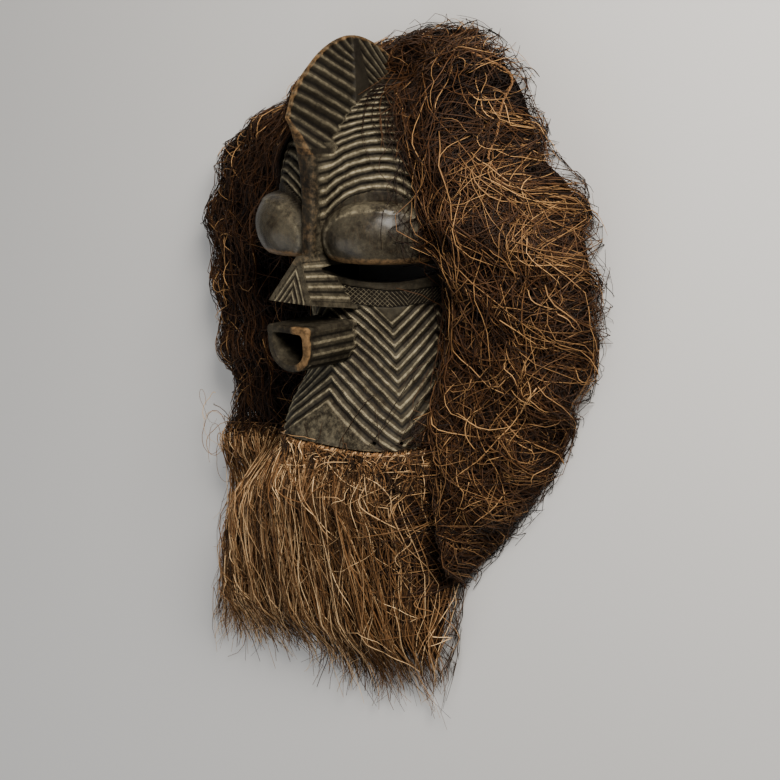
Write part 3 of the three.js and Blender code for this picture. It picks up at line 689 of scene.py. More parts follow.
class Shading:
    """One material and its nodes."""

    def __init__(self, name):
        self.material = bpy.data.materials.new(name)
        self.material.use_nodes = True
        self.tree = self.material.node_tree
        self.shader = self.tree.nodes["Principled BSDF"]

    def node(self, kind, settings, inputs, output=0):
        """A node with its settings made first, its sockets then set or linked; gives one output."""
        made = self.tree.nodes.new(kind)
        for name, value in settings.items():
            if name == "stops":
                self.set_stops(made.color_ramp, value)
            else:
                setattr(made, name, value)
        for key, value in inputs.items():
            self.connect(made.inputs[key], value)
        return Wire(self, made.outputs[output])

    def connect(self, socket, value):
        """Links a wire to the socket, or sets its number, vector or colour."""
        if isinstance(value, Wire):
            self.tree.links.new(value.socket, socket)
        elif socket.type == "RGBA":
            socket.default_value = (*value, 1.0)
        else:
            socket.default_value = value

    def set_stops(self, ramp, stops):
        """Gives a colour ramp its stops, each a place and a colour."""
        while len(ramp.elements) < len(stops):
            ramp.elements.new(1.0)
        for element, (place, colour) in zip(ramp.elements, stops):
            element.position = place
            element.color = (*colour, 1.0)

    def attribute(self, name):
        """A number that the piece carries at each vertex."""
        return self.node("ShaderNodeAttribute", {"attribute_name": name}, {}, "Fac")

    def place(self):
        """Place on the piece, in metres."""
        return self.node("ShaderNodeTexCoord", {}, {}, "Object")

    def axis(self, vector, index):
        """Coordinate 0, 1 or 2 of a place, in metres in the mask's own frame."""
        return self.node("ShaderNodeSeparateXYZ", {}, {0: vector}, index) - float(SHIFT[index] * MM)

    def noise(self, vector, scale, detail=3.0, roughness=0.5, distortion=0.0):
        """Noise with about as many patches to the metre as the scale says."""
        inputs = {"Vector": vector, "Scale": scale, "Detail": detail, "Roughness": roughness}
        return self.node("ShaderNodeTexNoise", {}, {**inputs, "Distortion": distortion})

    def stretched(self, vector, scale):
        """The vector with each axis scaled, for grain that runs one way."""
        return self.node("ShaderNodeMapping", {}, {"Vector": vector, "Scale": scale})

    def blend(self, share, first, second):
        """The first colour, giving way to the second where the share grows to 1."""
        return self.node("ShaderNodeMix", {"data_type": "RGBA"}, {"Factor": share, 6: first, 7: second}, 2)

    def bump(self, height, strength, distance):
        """Surface normal roughened by a height."""
        inputs = {"Height": height, "Strength": strength, "Distance": distance}
        return self.node("ShaderNodeBump", {}, inputs)

    def finish(self, **sockets):
        """Feeds the shader's sockets, named with _ for a space, and gives the material."""
        for name, value in sockets.items():
            self.connect(self.shader.inputs[name.replace("_", " ")], value)
        return self.material


def darker(colour, share):
    """The colour with each of its parts brought down to a share."""
    return tuple(share * part for part in colour)


def wood_material(settings):
    """Blackened wood: soot-dark patina, khaki dust on every carved crest, brown where hands wore it; painted
    shade darkens the crest, ridge, nose, mouth, band, grooves and inside.
    """
    s = Shading("carved_wood")
    place = s.place()
    carved = s.attribute("carved")
    band = s.attribute("band")
    soot = s.attribute("soot")
    smooth = s.attribute("smooth")
    fine = s.noise(place, 750, 4, 0.7)
    medium = s.noise(place, 170, 5, 0.65)
    large = s.noise(place, 26, 3, 0.55)
    grain = s.noise(s.stretched(place, (650, 45, 650)), 1.0, 4, 0.65)

    crest = 1 - s.attribute("line").math("PINGPONG", 0.5) * 2
    core = crest.between(0.66, 0.88)
    wide = crest.between(0.15, 0.85)
    speckle = (fine * 0.8 + medium * 1.2).between(0.72, 1.28)
    fading = large.between(0.3, 0.6) * 0.5 + 0.5
    dust = core * (0.25 + speckle * 0.65) * fading
    dust = dust + wide * (0.07 + s.attribute("broad") * 0.16) * (0.3 + speckle)
    dust = (dust * carved * settings.dust_amount * (1 - soot * 0.58)).clamp()
    # Painted shade at the bottoms of the carved grooves
    groove_shade = crest.between(0.38, 0.04) * carved.between(0.1, 0.5)

    patina = s.blend(large.between(0.35, 0.68), settings.patina_colour, settings.patina_light)
    patina = s.blend((grain.between(0.48, 0.78) * 0.5).clamp(), patina, settings.wood_brown)
    film = (medium * 0.6 + large * 0.25 + fine * 0.3).between(0.46, 0.76)
    patina = s.blend(film * (s.attribute("dusty") * 0.42 + 0.07), patina, settings.dust_colour)
    # Soot, with painted shade on the crest, ridge, forehead top, mouth, nose and band
    patina = s.blend((soot * 0.85).clamp(), patina, SOOT_AND_SHADE_BLACK)
    inside_band = band.between(0.58, 0.66)
    border = band.between(0.4, 0.5) * band.between(0.66, 0.58)
    strokes = band_lines(s, place) * inside_band
    # Painted shade over the incised band, which lies under the lids' overhang
    patina = s.blend((inside_band * 0.85).clamp(), patina, BAND_SHADE_BLACK)
    patina = s.blend((strokes * (0.15 + speckle * 0.4)).clamp(), patina, settings.dust_colour)
    patina = s.blend((border * 0.9).clamp(), patina, BORDER_BLACK)
    colour = s.blend((groove_shade * 0.9).clamp(), patina, RECESS_SHADE_BLACK)
    colour = s.blend(dust, colour, settings.dust_colour)
    rubbed = (s.attribute("worn") * (medium * 1.5 + grain * 0.5 + fine * 0.3)).between(0.4, 1.0)
    bare = s.blend(medium.between(0.35, 0.62), darker(settings.worn_colour, 0.4), settings.worn_colour)
    colour = s.blend(rubbed * 0.85, colour, bare)
    crack = lid_crack(s, place)
    colour = s.blend(crack, colour, CRACK_BLACK)
    # Painted shade: near black inside the hollow, the eye slits and the mouth's bore
    colour = s.blend((s.attribute("inner") * 0.95).clamp(), colour, RECESS_SHADE_BLACK)

    chisel = s.noise(s.stretched(place, (260, 90, 260)), 1.0, 2, 0.5)
    height = fine * 0.6 + medium * 0.7 + grain * 0.7 + chisel * 0.8 + dust * 0.3
    height = height - strokes * 1.2 - border * 2.0 - crack * 2.5
    rough = 0.5 + dust * 0.4 + rubbed * 0.15 + medium * 0.14 - smooth * 0.2
    return s.finish(
        Base_Color=colour,
        Roughness=rough.clamp(),
        Normal=s.bump(height, 0.6, 0.0009),
        Specular_IOR_Level=0.07,
        Coat_Weight=smooth * 0.22,
        Coat_Roughness=0.3,
    )


def lid_crack(s, place):
    """Thin level crack across the outer end of the mask's left eyelid, with a branch down from it."""
    x = s.axis(place, 0)
    y = s.axis(place, 1)
    off = (y - 0.0265 + (s.noise(place, 130, 2) - 0.5) * 0.005).math("ABSOLUTE")
    along = x.between(0.094, 0.099) * x.between(0.111, 0.107)
    branch = (x - 0.101 + (s.noise(place, 90, 1) - 0.5) * 0.004).math("ABSOLUTE").between(0.0006, 0.0001)
    branch = branch * y.between(0.014, 0.017) * y.between(0.0275, 0.026)
    return (off.between(0.0009, 0.0002) * along + branch * 0.7).clamp()


def band_lines(s, place):
    """Incised lines under the eyes: crossed near the nose, then slanting one way and the other."""
    x, y, z = (s.axis(place, k) for k in range(3))
    stray = (s.noise(place, 60, 1) - 0.5) * 0.0022
    along = x.math("ABSOLUTE").math("ARCTAN2", z) * 0.128 + stray

    def strokes(slope, pitch):
        """Thin lines, a pitch apart in metres, that slant across the band."""
        return ((along + y * slope) / pitch).math("PINGPONG", 0.5).between(0.12, 0.03)

    crossed = along.between(0.0705, 0.0695)
    after = along.between(0.092, 0.093)
    crossing = strokes(1.1, 0.0056).math("MAXIMUM", strokes(-1.1, 0.0056)) * crossed
    first = strokes(1.0, 0.0052) * (1 - crossed) * (1 - after)
    second = strokes(-1.1, 0.005) * after
    return crossing + first + second


def fibre_material(name, dark, light, tip):
    """Dry raffia: each strand has its own tone, with painted shade in it for strands deep in the tangle,
    darker at the root, with long streaks and a sheen.
    """
    s = Shading(name)
    place = s.place()
    tone = s.attribute("tone")
    along = s.attribute("along")
    streak = s.noise(place, 800, 2, 0.5)
    patch = s.noise(place, 16, 2, 0.5)
    share = (tone * (0.5 + patch * 0.6 + streak * 0.35 + along * 0.1)).clamp()
    ramp = s.node("ShaderNodeValToRGB", {"stops": [(0.0, dark), (0.5, light), (1.0, tip)]}, {"Fac": share})
    return s.finish(
        Base_Color=ramp,
        Roughness=(0.56 - tone * 0.14).clamp(),
        Normal=s.bump(streak, 0.3, 0.0004),
        Specular_IOR_Level=0.2,
    )


def under_material(name, dark, light):
    """Matted fibre below the loose strands, darkened as painted shade."""
    s = Shading(name)
    place = s.place()
    warp = s.noise(place, 30, 2, 0.5, 1.5)
    strand = s.noise(s.stretched(place, (420, 90, 420)), 1.0, 3, 0.6, 1.2)
    share = (strand * 0.9 + warp * 0.4).between(0.5, 0.95)
    return s.finish(
        Base_Color=s.blend(share, dark, light),
        Roughness=0.9,
        Specular_IOR_Level=0.05,
        Normal=s.bump(strand, 0.9, 0.004),
    )


def ridge_solid():
    """Loft of rounded trapezoid sections down the forehead."""
    y = np.linspace(RIDGE[0, 0], RIDGE[-1, 0], 100)
    order = np.argsort(RIDGE[:, 0])
    rows = RIDGE[order]
    front, half, root = (smooth_run(rows[:, 0], rows[:, k], y) for k in (1, 2, 3))
    root = np.minimum(root, front - 8)
    u = np.linspace(-1, 1, 17)
    x = u[None, :] * half[:, None]
    z = front[:, None] - 2.6 * np.abs(u[None, :]) ** 4
    top = points_at(x, y[:, None], z)
    top[..., 2] += 0.5 * wobble(top, 26, SEED["ridge"])
    t = np.array([0.12, 0.3, 0.6, 1.0])
    side_x = half[:, None] + RIDGE_SPREAD * t
    side_z = mix(front[:, None] - 2.6, root[:, None], t)
    right, left = (points_at(side * side_x, y[:, None], side_z) for side in (1, -1))
    return loft(np.concatenate([top, right, left[:, ::-1]], 1))


def chevron_number(t, u):
    """Chevrons nested on the nose's front, their tips at 0.3, 0.53 and 0.76 of its height."""
    return (t * (1 - u) - 0.07) / 0.23


def nose_side_number(t):
    """Level grooves on the nose's sides, five to its height."""
    return 5 * t - 0.1


def nose_solid(settings):
    """Tapered wedge, its front incised with chevrons and its sides with level grooves."""
    t = np.linspace(0, 1, 60)[:, None]
    s = np.linspace(0, 1, 40)[None, :]
    u = np.linspace(-1, 1, 45)[None, :]
    front_half = mix(NOSE["top_half"], NOSE["base_half"], t)
    root_half = mix(NOSE_ROOT["top_half"], NOSE_ROOT["base_half"], t)
    front_z = mix(NOSE["top_z"], NOSE["base_z"], t)
    y = mix(NOSE["top"], NOSE["base"], t)
    chevron = chevron_number(t, np.abs(u))
    cut = np.where(chevron > 0.6, groove_gouge(chevron, 1.0), 0) * smooth_step(1.0, 0.94, t)
    front = points_at(front_half * u, y, front_z - settings.nose_depth * 0.75 * cut)
    band = smooth_step(0.9, 0.86, t) * smooth_step(0.1, 0.16, t)
    side_cut = groove_gouge(nose_side_number(t), 1.0) * band * smooth_step(0.0, 0.05, s)
    half = mix(front_half, root_half, s) - settings.nose_depth * side_cut
    side_y = y - NOSE_ROOT["drop"] * t * s
    side_z = mix(front_z, FEATURE_ROOT_Z, s)
    right, left = (points_at(side * half, side_y, side_z) for side in (1, -1))
    return loft(np.concatenate([front, right[:, 1:], left[:, :0:-1]], 1))


def mouth_outline(inset, count=96):
    """D outline, flat above and round below, shrunk by inset, from its right upper corner."""
    half = MOUTH["half"] - inset
    top = MOUTH["top"] - inset
    bottom = MOUTH["bottom"] + inset
    turn = (top + bottom) / 2 + 4
    angle = np.radians(np.linspace(0, 180, 60))
    bowl = np.stack([half * np.cos(angle), turn + (bottom - turn) * np.sin(angle) ** 0.85], 1)
    corner = np.radians(np.linspace(90, 0, 7))
    across = half - MOUTH_CORNER + MOUTH_CORNER * np.cos(corner)
    right = np.stack([across, top - MOUTH_CORNER + MOUTH_CORNER * np.sin(corner)], 1)
    left = (right * [-1, 1])[::-1]
    return even_points(np.vstack([right, bowl, left, right[:1]]), count, closed=True)


def mouth_front(y):
    """Height of the slanting front rim of the mouth at a level."""
    share = (y - MOUTH["bottom"]) / (MOUTH["top"] - MOUTH["bottom"])
    return mix(MOUTH["front_bottom"], MOUTH["front_top"], share)


def mouth_number(y):
    """Number of the level groove beside the mouth at a level."""
    return (y - MOUTH_GROOVE_FIRST) / MOUTH_GROOVE_PITCH


def mouth_solid(settings):
    """Tube of D sections from the face to a rounded front rim, with level grooves on both sides."""
    inset = np.concatenate([np.zeros(34), [0.25, 0.9, 2.0, 3.4]])
    back = np.concatenate([np.linspace(1, 0.018, 34), [0.006, 0.0, -0.004, -0.004]])
    outline = np.stack([mouth_outline(i) for i in inset])
    level = outline[..., 1]
    z = mix(mouth_front(level) - 1.2, FEATURE_ROOT_Z, back[:, None])
    waves = groove_gouge(mouth_number(level), 1.0) * (np.abs(outline[..., 0]) > MOUTH["half"] / 2)
    waves = waves * smooth_step(MOUTH["top"] - 4, MOUTH["top"] - 9, level)
    waves = waves * smooth_step(MOUTH["bottom"] + 4, MOUTH["bottom"] + 10, level)
    waves = waves * smooth_step(0.03, 0.1, back)[:, None]
    middle = np.array([0.0, (MOUTH["top"] + MOUTH["bottom"]) / 2])
    away = outline - middle
    away = away / np.linalg.norm(away, axis=-1, keepdims=True)
    outline = outline - away * (settings.mouth_depth * waves)[..., None]
    return loft(np.concatenate([outline, z[..., None]], -1))


def mouth_bore():
    """Plug that cuts the bore, flared a little at the front rim."""
    inset = MOUTH["wall"] + np.array([0.0, 0.0, 0.0, -0.9, -2.2, -2.2])
    depth = np.array([-112.0, -50.0, -4.0, -1.6, 0.8, 12.0])
    outline = np.stack([mouth_outline(i) for i in inset])
    flat = points_at(outline[..., 0], outline[..., 1], 0.0)
    outline = outline + 0.35 * wobble(flat, 14, SEED["bore"])[..., None]
    z = mouth_front(outline[..., 1]) + depth[:, None]
    return loft(np.concatenate([outline, z[..., None]], -1))


def crest_outline(count):
    """Closed outline of the crest, as (y, z): the curved edge, and straight back through the skull."""
    edge = spline(CREST_EDGE, 200)
    return even_points(np.vstack([edge, CREST_ROOT, edge[:1]]), count, closed=True)


def crest_solid(settings):
    """Thin lens: its outline drawn in towards the focus as it thickens, grooved on both sides."""
    outline = crest_outline(CREST_POINTS)
    share = np.concatenate([np.linspace(0.3, 0.985, 46), [1.0, 0.996]])
    way = outline - CREST_FOCUS
    place = CREST_FOCUS + share[:, None, None] * way
    y, z = place[..., 0], place[..., 1]
    half = CREST_EDGE_HALF + CREST_SLOPE * (1 - share[:, None]) + 0 * y
    half[-2] *= 0.72
    wedge = inside_wedge(y, z)
    front = fan_number(CREST_FRONT, y, z)
    back = fan_number(CREST_BACK, y, z)
    is_front = z > mix(CREST_WEDGE[0][1], CREST_WEDGE[1][1], 0.5)
    line = np.where(is_front, front, back)
    inside = np.where(is_front, smooth_step(-0.4, 0.1, front), smooth_step(3.4, 2.9, back)) * (1 - wedge)
    inside = inside * smooth_step(1.0, 0.965, share)[:, None]
    line = line + fan_stray(y, z)
    half = half - inside * groove_wave(line, settings.crest_depth)
    dent = 0.4 * wobble(points_at(0.0, y, z), 30, SEED["crest"])
    half = np.maximum(half + dent * (half > 1), 0)
    half[-1] = 0.35
    right, left = (points_at(side * half, y, z) for side in (1, -1))
    return loft(np.concatenate([right, left[::-1]], 0))


def head_rows(top_angle, face_step, skull_rows):
    """Levels from the chin to the crown: even on the face, by an ellipse's angle on the skull."""
    face = np.arange(CHIN_Y, BROW_Y - face_step / 2, face_step)
    skull = BROW_Y + (CROWN_Y - BROW_Y) * np.sin(np.radians(np.linspace(0, top_angle, skull_rows)))
    return np.concatenate([face, skull])


def head_solid(settings):
    """Head lump: the superellipse skin with its lids, less the carved grooves, closed flat behind."""
    step = settings.cell_size / MM
    turns = np.concatenate([
        np.linspace(-90, -FINE_TURN, 7)[:-1],
        np.linspace(-FINE_TURN, FINE_TURN, int(330 / step)),
        np.linspace(FINE_TURN, 90, 7)[1:],
    ])
    y = head_rows(86, step * 0.97, int(200 / step))
    shelf = LID["shelf"]
    y = np.sort(np.concatenate([y[np.abs(y - shelf) > 1.1], [shelf - 0.5, shelf + 0.2]]))
    turn, level = np.meshgrid(turns, y)
    radius = head_radius(turn, level)
    share = lid_share(turn, level)
    lid = lid_swell(turn, level) * (level > shelf) * (np.abs(turn) < 60)
    edge = smooth_step(shelf, shelf + 5, level)
    lid = lid - 1.2 * (1 - edge) * (lid > 2)
    lid = lid + 1.7 * smooth_step(0.6, 0.66, share) * (lid > 2) * edge
    inside = band_depth(turn, level)
    lip = smooth_step(-8, -1, inside) * smooth_step(0.4, -0.6, inside) * (level < -12) * (np.abs(turn) > 5)
    lid = lid + 1.3 * lip * (level > np.interp(np.abs(turn), BAND_TURNS, BAND_TOP) - 1)
    lid = lid - 0.9 * smooth_step(1.3, 0.0, np.abs(inside - 0.6))
    depth = carved_head(turn, level, settings.brow_depth, settings.cheek_depth)[0]
    tilt = np.maximum(skin_tilt(turn, level), 0.42)
    rim = smooth_step(CHIN_Y, CHIN_Y + 7, level)
    radius = radius + lid - depth / tilt
    points = around(turn, level, radius)
    uneven = 0.45 * wobble(points, 34, SEED["skin"]) + 0.22 * wobble(points, 12, SEED["skin_fine"])
    radius = radius + uneven * rim - 1.4 * (1 - rim) ** 2
    points = around(turn, level, radius)
    points[:, 0, 2] = 0
    points[:, -1, 2] = 0
    return loft(points)


def hollow_solid():
    """The hollow behind the face: the same skin set in by the wall, with a socket behind each eye."""
    y = np.concatenate([[CHIN_Y - 12], np.linspace(CHIN_Y, BROW_Y, 60)[1:]])
    top = BROW_Y + (CROWN_Y - WALL - BROW_Y) * np.sin(np.radians(np.linspace(0, 84, 26)))[1:]
    turn, level = np.meshgrid(np.linspace(-90, 90, 70), np.concatenate([y, top]))
    radius = head_radius(turn, level, WALL) + SOCKET * lid_swell(turn, level)
    points = around(turn, level, radius)
    points = points + 0.8 * ray(turn) * wobble(points, 18, SEED["hollow"])[..., None]
    back = points[:, [-1, 0]].copy()
    back[..., 2] = -12
    points[:, 0, 2] = 0
    points[:, -1, 2] = 0
    return loft(np.concatenate([points, back], 1))


def slit_solid(side):
    """Crescent slit under a lid, cut through the wall and flared inwards."""
    t = np.linspace(0, 1, 60)[:, None]
    turn = mix(SLIT["from"], SLIT["to"], t)
    arch = (4 * t * (1 - t)) ** 0.7
    top = mix(SLIT["corner"] + 0.3, SLIT["crown"], arch)
    low = mix(SLIT["corner"] - 0.3, SLIT["floor"], arch)
    radius = head_radius(turn, SLIT["corner"])
    depth = np.array([[14.0, 14.0, -34.0, -34.0]])
    level = np.concatenate([top, low, low - 1.0, top + 0.6], 1)
    flare = np.concatenate([0 * t, 0 * t, mix(-13, 3, t), mix(-13, 3, t)], 1)
    return loft(around(side * (turn + flare), level, radius + depth))


def tie_hole(turn):
    """Round plug through the wall near the chin's end."""
    angle = np.radians(np.arange(0, 360, 30))
    u, v = TIE_RADIUS * np.cos(angle), TIE_RADIUS * np.sin(angle)
    radius = head_radius(turn, TIE_LEVEL)
    rings = [around(turn, TIE_LEVEL + v, radius + depth) for depth in (-26, 10)]
    return loft(np.stack(rings) + u[:, None] * ray(turn + 90))


def wood_attributes(points):
    """Line numbers and finish masks worked out again from where each point of the wood lies."""
    x, y, z = points.T
    turn = np.degrees(np.arctan2(x, z))
    radius = np.hypot(x, z)
    skin = head_radius(turn, y)
    proud = radius - skin
    _, line, carved, broad = carved_head(turn, y, 1, 1)
    outside = proud > -WALL * 0.6
    in_lid = (lid_share(turn, y) < 1) & (y > LID["shelf"] - 1) & (proud > 1.5)
    crest = (y > 112) & (np.abs(x) < 14) & (proud > 1.8)
    nose = (y < 12) & (y > -52) & (np.abs(x) < 33.5) & (proud > 1.6) & ~in_lid
    mouth = (y < MOUTH["top"] + 2) & (y > MOUTH["bottom"] - 2) & (np.abs(x) < 29.5) & (proud > 1.8)
    ridge = (y > 0) & (y < 150) & (np.abs(x) < 14) & (z > 147) & ~crest
    plain = in_lid | ridge | ~outside
    carved = np.where(plain, 0, carved)
    broad = np.where(plain | crest | nose | mouth, 0, broad)

    fan = np.where(z > CREST_WEDGE[1][1], fan_number(CREST_FRONT, y, z), fan_number(CREST_BACK, y, z))
    in_fan = (1 - inside_wedge(y, z)) * (y > 118)
    line = np.where(crest, fan + fan_stray(y, z), line)
    carved = np.where(crest, 0.6 * in_fan, carved)
    broad = np.where(crest, 1.0, broad)

    nose_line, nose_mask = nose_finish(x, y, z)
    line = np.where(nose, nose_line, line)
    carved = np.where(nose, 0.85 * nose_mask, carved)

    line = np.where(mouth, mouth_number(y), line)
    mouth_mask = (np.abs(x) > MOUTH["half"] / 2) & (z < 180)
    mouth_mask = mouth_mask & (y < MOUTH["top"] - 5) & (y > MOUTH["bottom"] + 6)
    carved = np.where(mouth, 0.7 * mouth_mask, carved)

    reach = np.hypot(y - CREST_FOCUS[0], z - CREST_FOCUS[1])
    crest_share = reach / reach_to(crest_outline(CREST_POINTS), CREST_FOCUS, y, z)
    # Worn: the lids' lower edges, the mouth's front rim, the crest's edge, the chin's end, the ridge
    worn = np.maximum.reduce([
        in_lid * smooth_step(17, 3, y) * 0.95,
        mouth * smooth_step(181, 187, z) * (0.35 + 0.65 * smooth_step(4, 16, x)),
        crest * smooth_step(0.955, 0.98, crest_share) * (reach > 80) * 0.62,
        smooth_step(CHIN_Y + 4, CHIN_Y, y) * 0.5,
        ridge * 0.42,
    ])

    band = np.clip(band_depth(turn, y) / BAND_RANGE + 0.5, 0, 1)
    band = np.where(nose | mouth | ~outside, 0, band)
    near = np.abs(turn)
    in_slit = (proud < -1.2) & (y < 1.6) & (y > SLIT["floor"] - 1) & ~nose
    in_slit = in_slit & (near > SLIT["from"] - 1) & (near < SLIT["to"] + 1)
    bore = (np.abs(x) < MOUTH["half"] - MOUTH["wall"] + 1.5) & (z < 176)
    bore = bore & (y < MOUTH["top"] - 5) & (y > MOUTH["bottom"] + 5)

    # Soot and painted shade lie thickest on the crest and the ridge, and thinly over the rest of the
    # forehead, more towards its top; painted shade darkens the mouth, nose and band
    soot = np.where(crest, 0.9, np.where(ridge, 0.85, smooth_step(60, 110, y) * 0.35))
    soot = np.where(mouth, 0.6, np.where(nose, 0.4, np.where(band > 0.5, 0.6, soot)))
    share = lid_share(turn, y)
    ring_line = smooth_step(0.07, 0.0, np.abs(share - 0.63))
    lid_ring = in_lid * (0.06 + 0.45 * smooth_step(0.5, 0.66, share) + 0.8 * ring_line)
    plain_chin = outside * (carved < 0.2) * smooth_step(-120, -150, y) * ~mouth
    # Film of dust: rings on the lids, the plain part of the chin, the ridge's sides, nose and mouth
    dusty = np.maximum.reduce([
        lid_ring * np.where(x > 0, 1, 0.5),
        0.6 * plain_chin,
        ridge * smooth_step(3.5, 6.5, np.abs(x)) * 0.7,
        0.3 * (nose | mouth),
    ])
    # Attributes: soot with painted shade, and inner for the painted shade inside the hollow, slits and bore
    return {
        "line": line, "carved": carved, "broad": broad, "worn": worn, "band": band,
        "inner": ~outside | in_slit | bore, "soot": soot, "dusty": dusty, "smooth": in_lid,
    }


def nose_finish(x, y, z):
    """Line number on the nose, of chevrons on its front and level grooves on its sides, and its mask."""

    def way_back(t):
        """Share of the way from the front to the root at which each point lies."""
        front_z = mix(NOSE["top_z"], NOSE["base_z"], t)
        return np.clip((front_z - z) / (front_z - FEATURE_ROOT_Z), 0, 1)

    below_top = NOSE["top"] - y
    height = NOSE["top"] - NOSE["base"]
    s = way_back(below_top / height)
    for _ in range(2):
        t = np.clip(below_top / (height + NOSE_ROOT["drop"] * s), 0, 1)
        s = way_back(t)
    half = mix(NOSE["top_half"], NOSE["base_half"], t)
    on_front = s < NOSE_FRONT_SHARE
    chevron = chevron_number(t, np.minimum(np.abs(x) / np.maximum(half, 1), 1))
    line = np.where(on_front, chevron, nose_side_number(t))
    return line, np.where(on_front, chevron > 0.55, (t > 0.12) & (t < 0.9))


def mane_rim(share):
    """Where the mane leaves the wood: up one side, over the crown and down the other side."""
    side = np.where(share < 0.5, 1.0, -1.0)
    along = 2 * np.minimum(share, 1 - share)
    over = np.sin(np.clip((along - 0.6) / 0.32, 0, 1) * math.pi / 2)
    rim_y = np.where(along < 0.6, mix(CHIN_Y + 8, BROW_Y, along / 0.6), mix(BROW_Y, CROWN_Y - 6, over))
    inward = np.clip((along - 0.92) / 0.08, 0, 1)
    return side * cross_section(rim_y)[0] * (1 - inward), rim_y


def mane_sections(share, reach, sink=0.0):
    """Points of the mane at shares of the way round and of the way out over its upper side.

    The upper side runs from the wood over a hump at 0.3 of the way to the ground; locks ripple it.
    """
    rim_x, rim_y = mane_rim(share)
    outline = spline(MANE_OUTLINE, 800)
    place = np.linspace(0, 1, 800)
    outer_x = np.interp(share, place, outline[:, 0])
    outer_y = np.interp(share, place, outline[:, 1])
    lock = np.sin(share * MANE_LOCKS * 2 * math.pi)
    ragged = np.where(sink > 0, -1.1 * sink, 4 * lock + 4 * np.sin(share * 71 + 1.3))
    length = np.hypot(outer_x - rim_x, outer_y - rim_y)
    way_x, way_y = (outer_x - rim_x) / length, (outer_y - rim_y) / length
    length = length + ragged
    touch = smooth_run(MANE_SHARES, MANE_TOUCH, share)
    hump = smooth_run(MANE_SHARES, MANE_HUMP, share) + 4 * lock
    lean = -MANE_UNDER - 0.45 * np.maximum(touch - 40, 0)
    out = np.stack([lean - 4, lean, 0.3 * length, 0.66 * length, 0.92 * length, length], -1)
    high = np.stack([touch - 4, touch, hump, 0.72 * hump, 0.36 * hump + 2 * lock, 0 * hump - 14], -1)
    last = len(MANE_STOPS) - 1
    k = np.clip(np.searchsorted(MANE_STOPS, reach, side="right") - 1, 0, last - 1)
    t = (reach - MANE_STOPS[k]) / (MANE_STOPS[k + 1] - MANE_STOPS[k])

    def between_stops(table):
        """Values of the table's stops k and k + 1, mixed by t."""
        table = np.broadcast_to(table, (*k.shape, last + 1))
        before, after = (np.take_along_axis(table, (k + n)[..., None], -1)[..., 0] for n in (0, 1))
        return mix(before, after, t)

    far = between_stops(out)
    return np.stack([rim_x + way_x * far, rim_y + way_y * far, between_stops(high) - sink], -1)


def mane_under(sink):
    """Closed matted body below the loose strands, cut to fit the wood."""
    share = np.linspace(0, 1, 220)[:, None]
    reach = np.concatenate([np.linspace(0, 0.9, 24), np.linspace(0.92, 1, 5)])[None, :]
    upper = mane_sections(share + 0 * reach, 0 * share + reach, sink)
    broad = wobble(upper, 26, SEED["mane_broad"])
    fine = wobble(upper, 9, SEED["mane_fine"])
    upper[..., 2] = upper[..., 2] + 3.0 * broad + 1.5 * fine
    upper[..., 2] = np.maximum(upper[..., 2], FLOOR + 3)
    outer = upper[:, -1:].copy()
    outer[..., 2] = FLOOR
    inner = upper[:, :1].copy()
    start = mane_sections(share, 0 * share, 0.0)
    end = mane_sections(share, 0 * share + 0.3, 0.0)
    way = (end - start)[..., :2]
    way = way / np.linalg.norm(way, axis=-1, keepdims=True)
    rim = np.concatenate(mane_rim(share), 1)[:, None]
    foot = rim - way * MANE_UNDER
    low = np.concatenate([foot, np.full((*foot.shape[:2], 1), FLOOR)], -1)
    high = np.concatenate([foot, np.full((*foot.shape[:2], 1), -2.0)], -1)
    return loft(np.concatenate([low, high, inner, upper[:, 1:], outer], 1))


class HeightMap:
    """Height of the upper side of mane, wood and beard over the ground plan, on square cells."""

    CELL = 3.0
    BORDER = 60

    def __init__(self):
        share, reach = np.meshgrid(np.linspace(0, 1, 1800), np.linspace(0, 1, 260))
        mane = mane_sections(share, reach).reshape(-1, 3)
        turn, level = np.meshgrid(np.linspace(-90, 90, 400), head_rows(87, 2.0, 160))
        skin = head_radius(turn, level) + lid_swell(turn, level) * (level > LID["shelf"])
        wood = around(turn, level, skin).reshape(-1, 3)
        across, down = np.meshgrid(np.linspace(-1, 1, 500), np.linspace(0, 1, 500))
        beard = beard_place(across, down).reshape(-1, 3)
        self.low = np.minimum(mane[:, :2].min(0), beard[:, :2].min(0)) - self.BORDER
        size = np.ceil((mane[:, :2].max(0) + self.BORDER - self.low) / self.CELL).astype(int) + 1
        self.height = np.full(size, FLOOR)
        for points in (mane, wood, beard):
            cell = np.round((points[:, :2] - self.low) / self.CELL).astype(int)
            np.maximum.at(self.height, (cell[:, 0], cell[:, 1]), points[:, 2])
        for _ in range(2):
            padded = np.pad(self.height, 1, mode="edge")
            self.height = sum(
                padded[i:i + size[0], j:j + size[1]] for i in range(3) for j in range(3)
            ) / 9

    def at(self, x, y):
        """Bilinear height at places of the ground plan."""
        u = np.clip((x - self.low[0]) / self.CELL, 0, self.height.shape[0] - 1.001)
        v = np.clip((y - self.low[1]) / self.CELL, 0, self.height.shape[1] - 1.001)
        i, j = u.astype(int), v.astype(int)
        u, v = u - i, v - j
        h = self.height
        return (
            h[i, j] * (1 - u) * (1 - v) + h[i + 1, j] * u * (1 - v)
            + h[i, j + 1] * (1 - u) * v + h[i + 1, j + 1] * u * v
        )


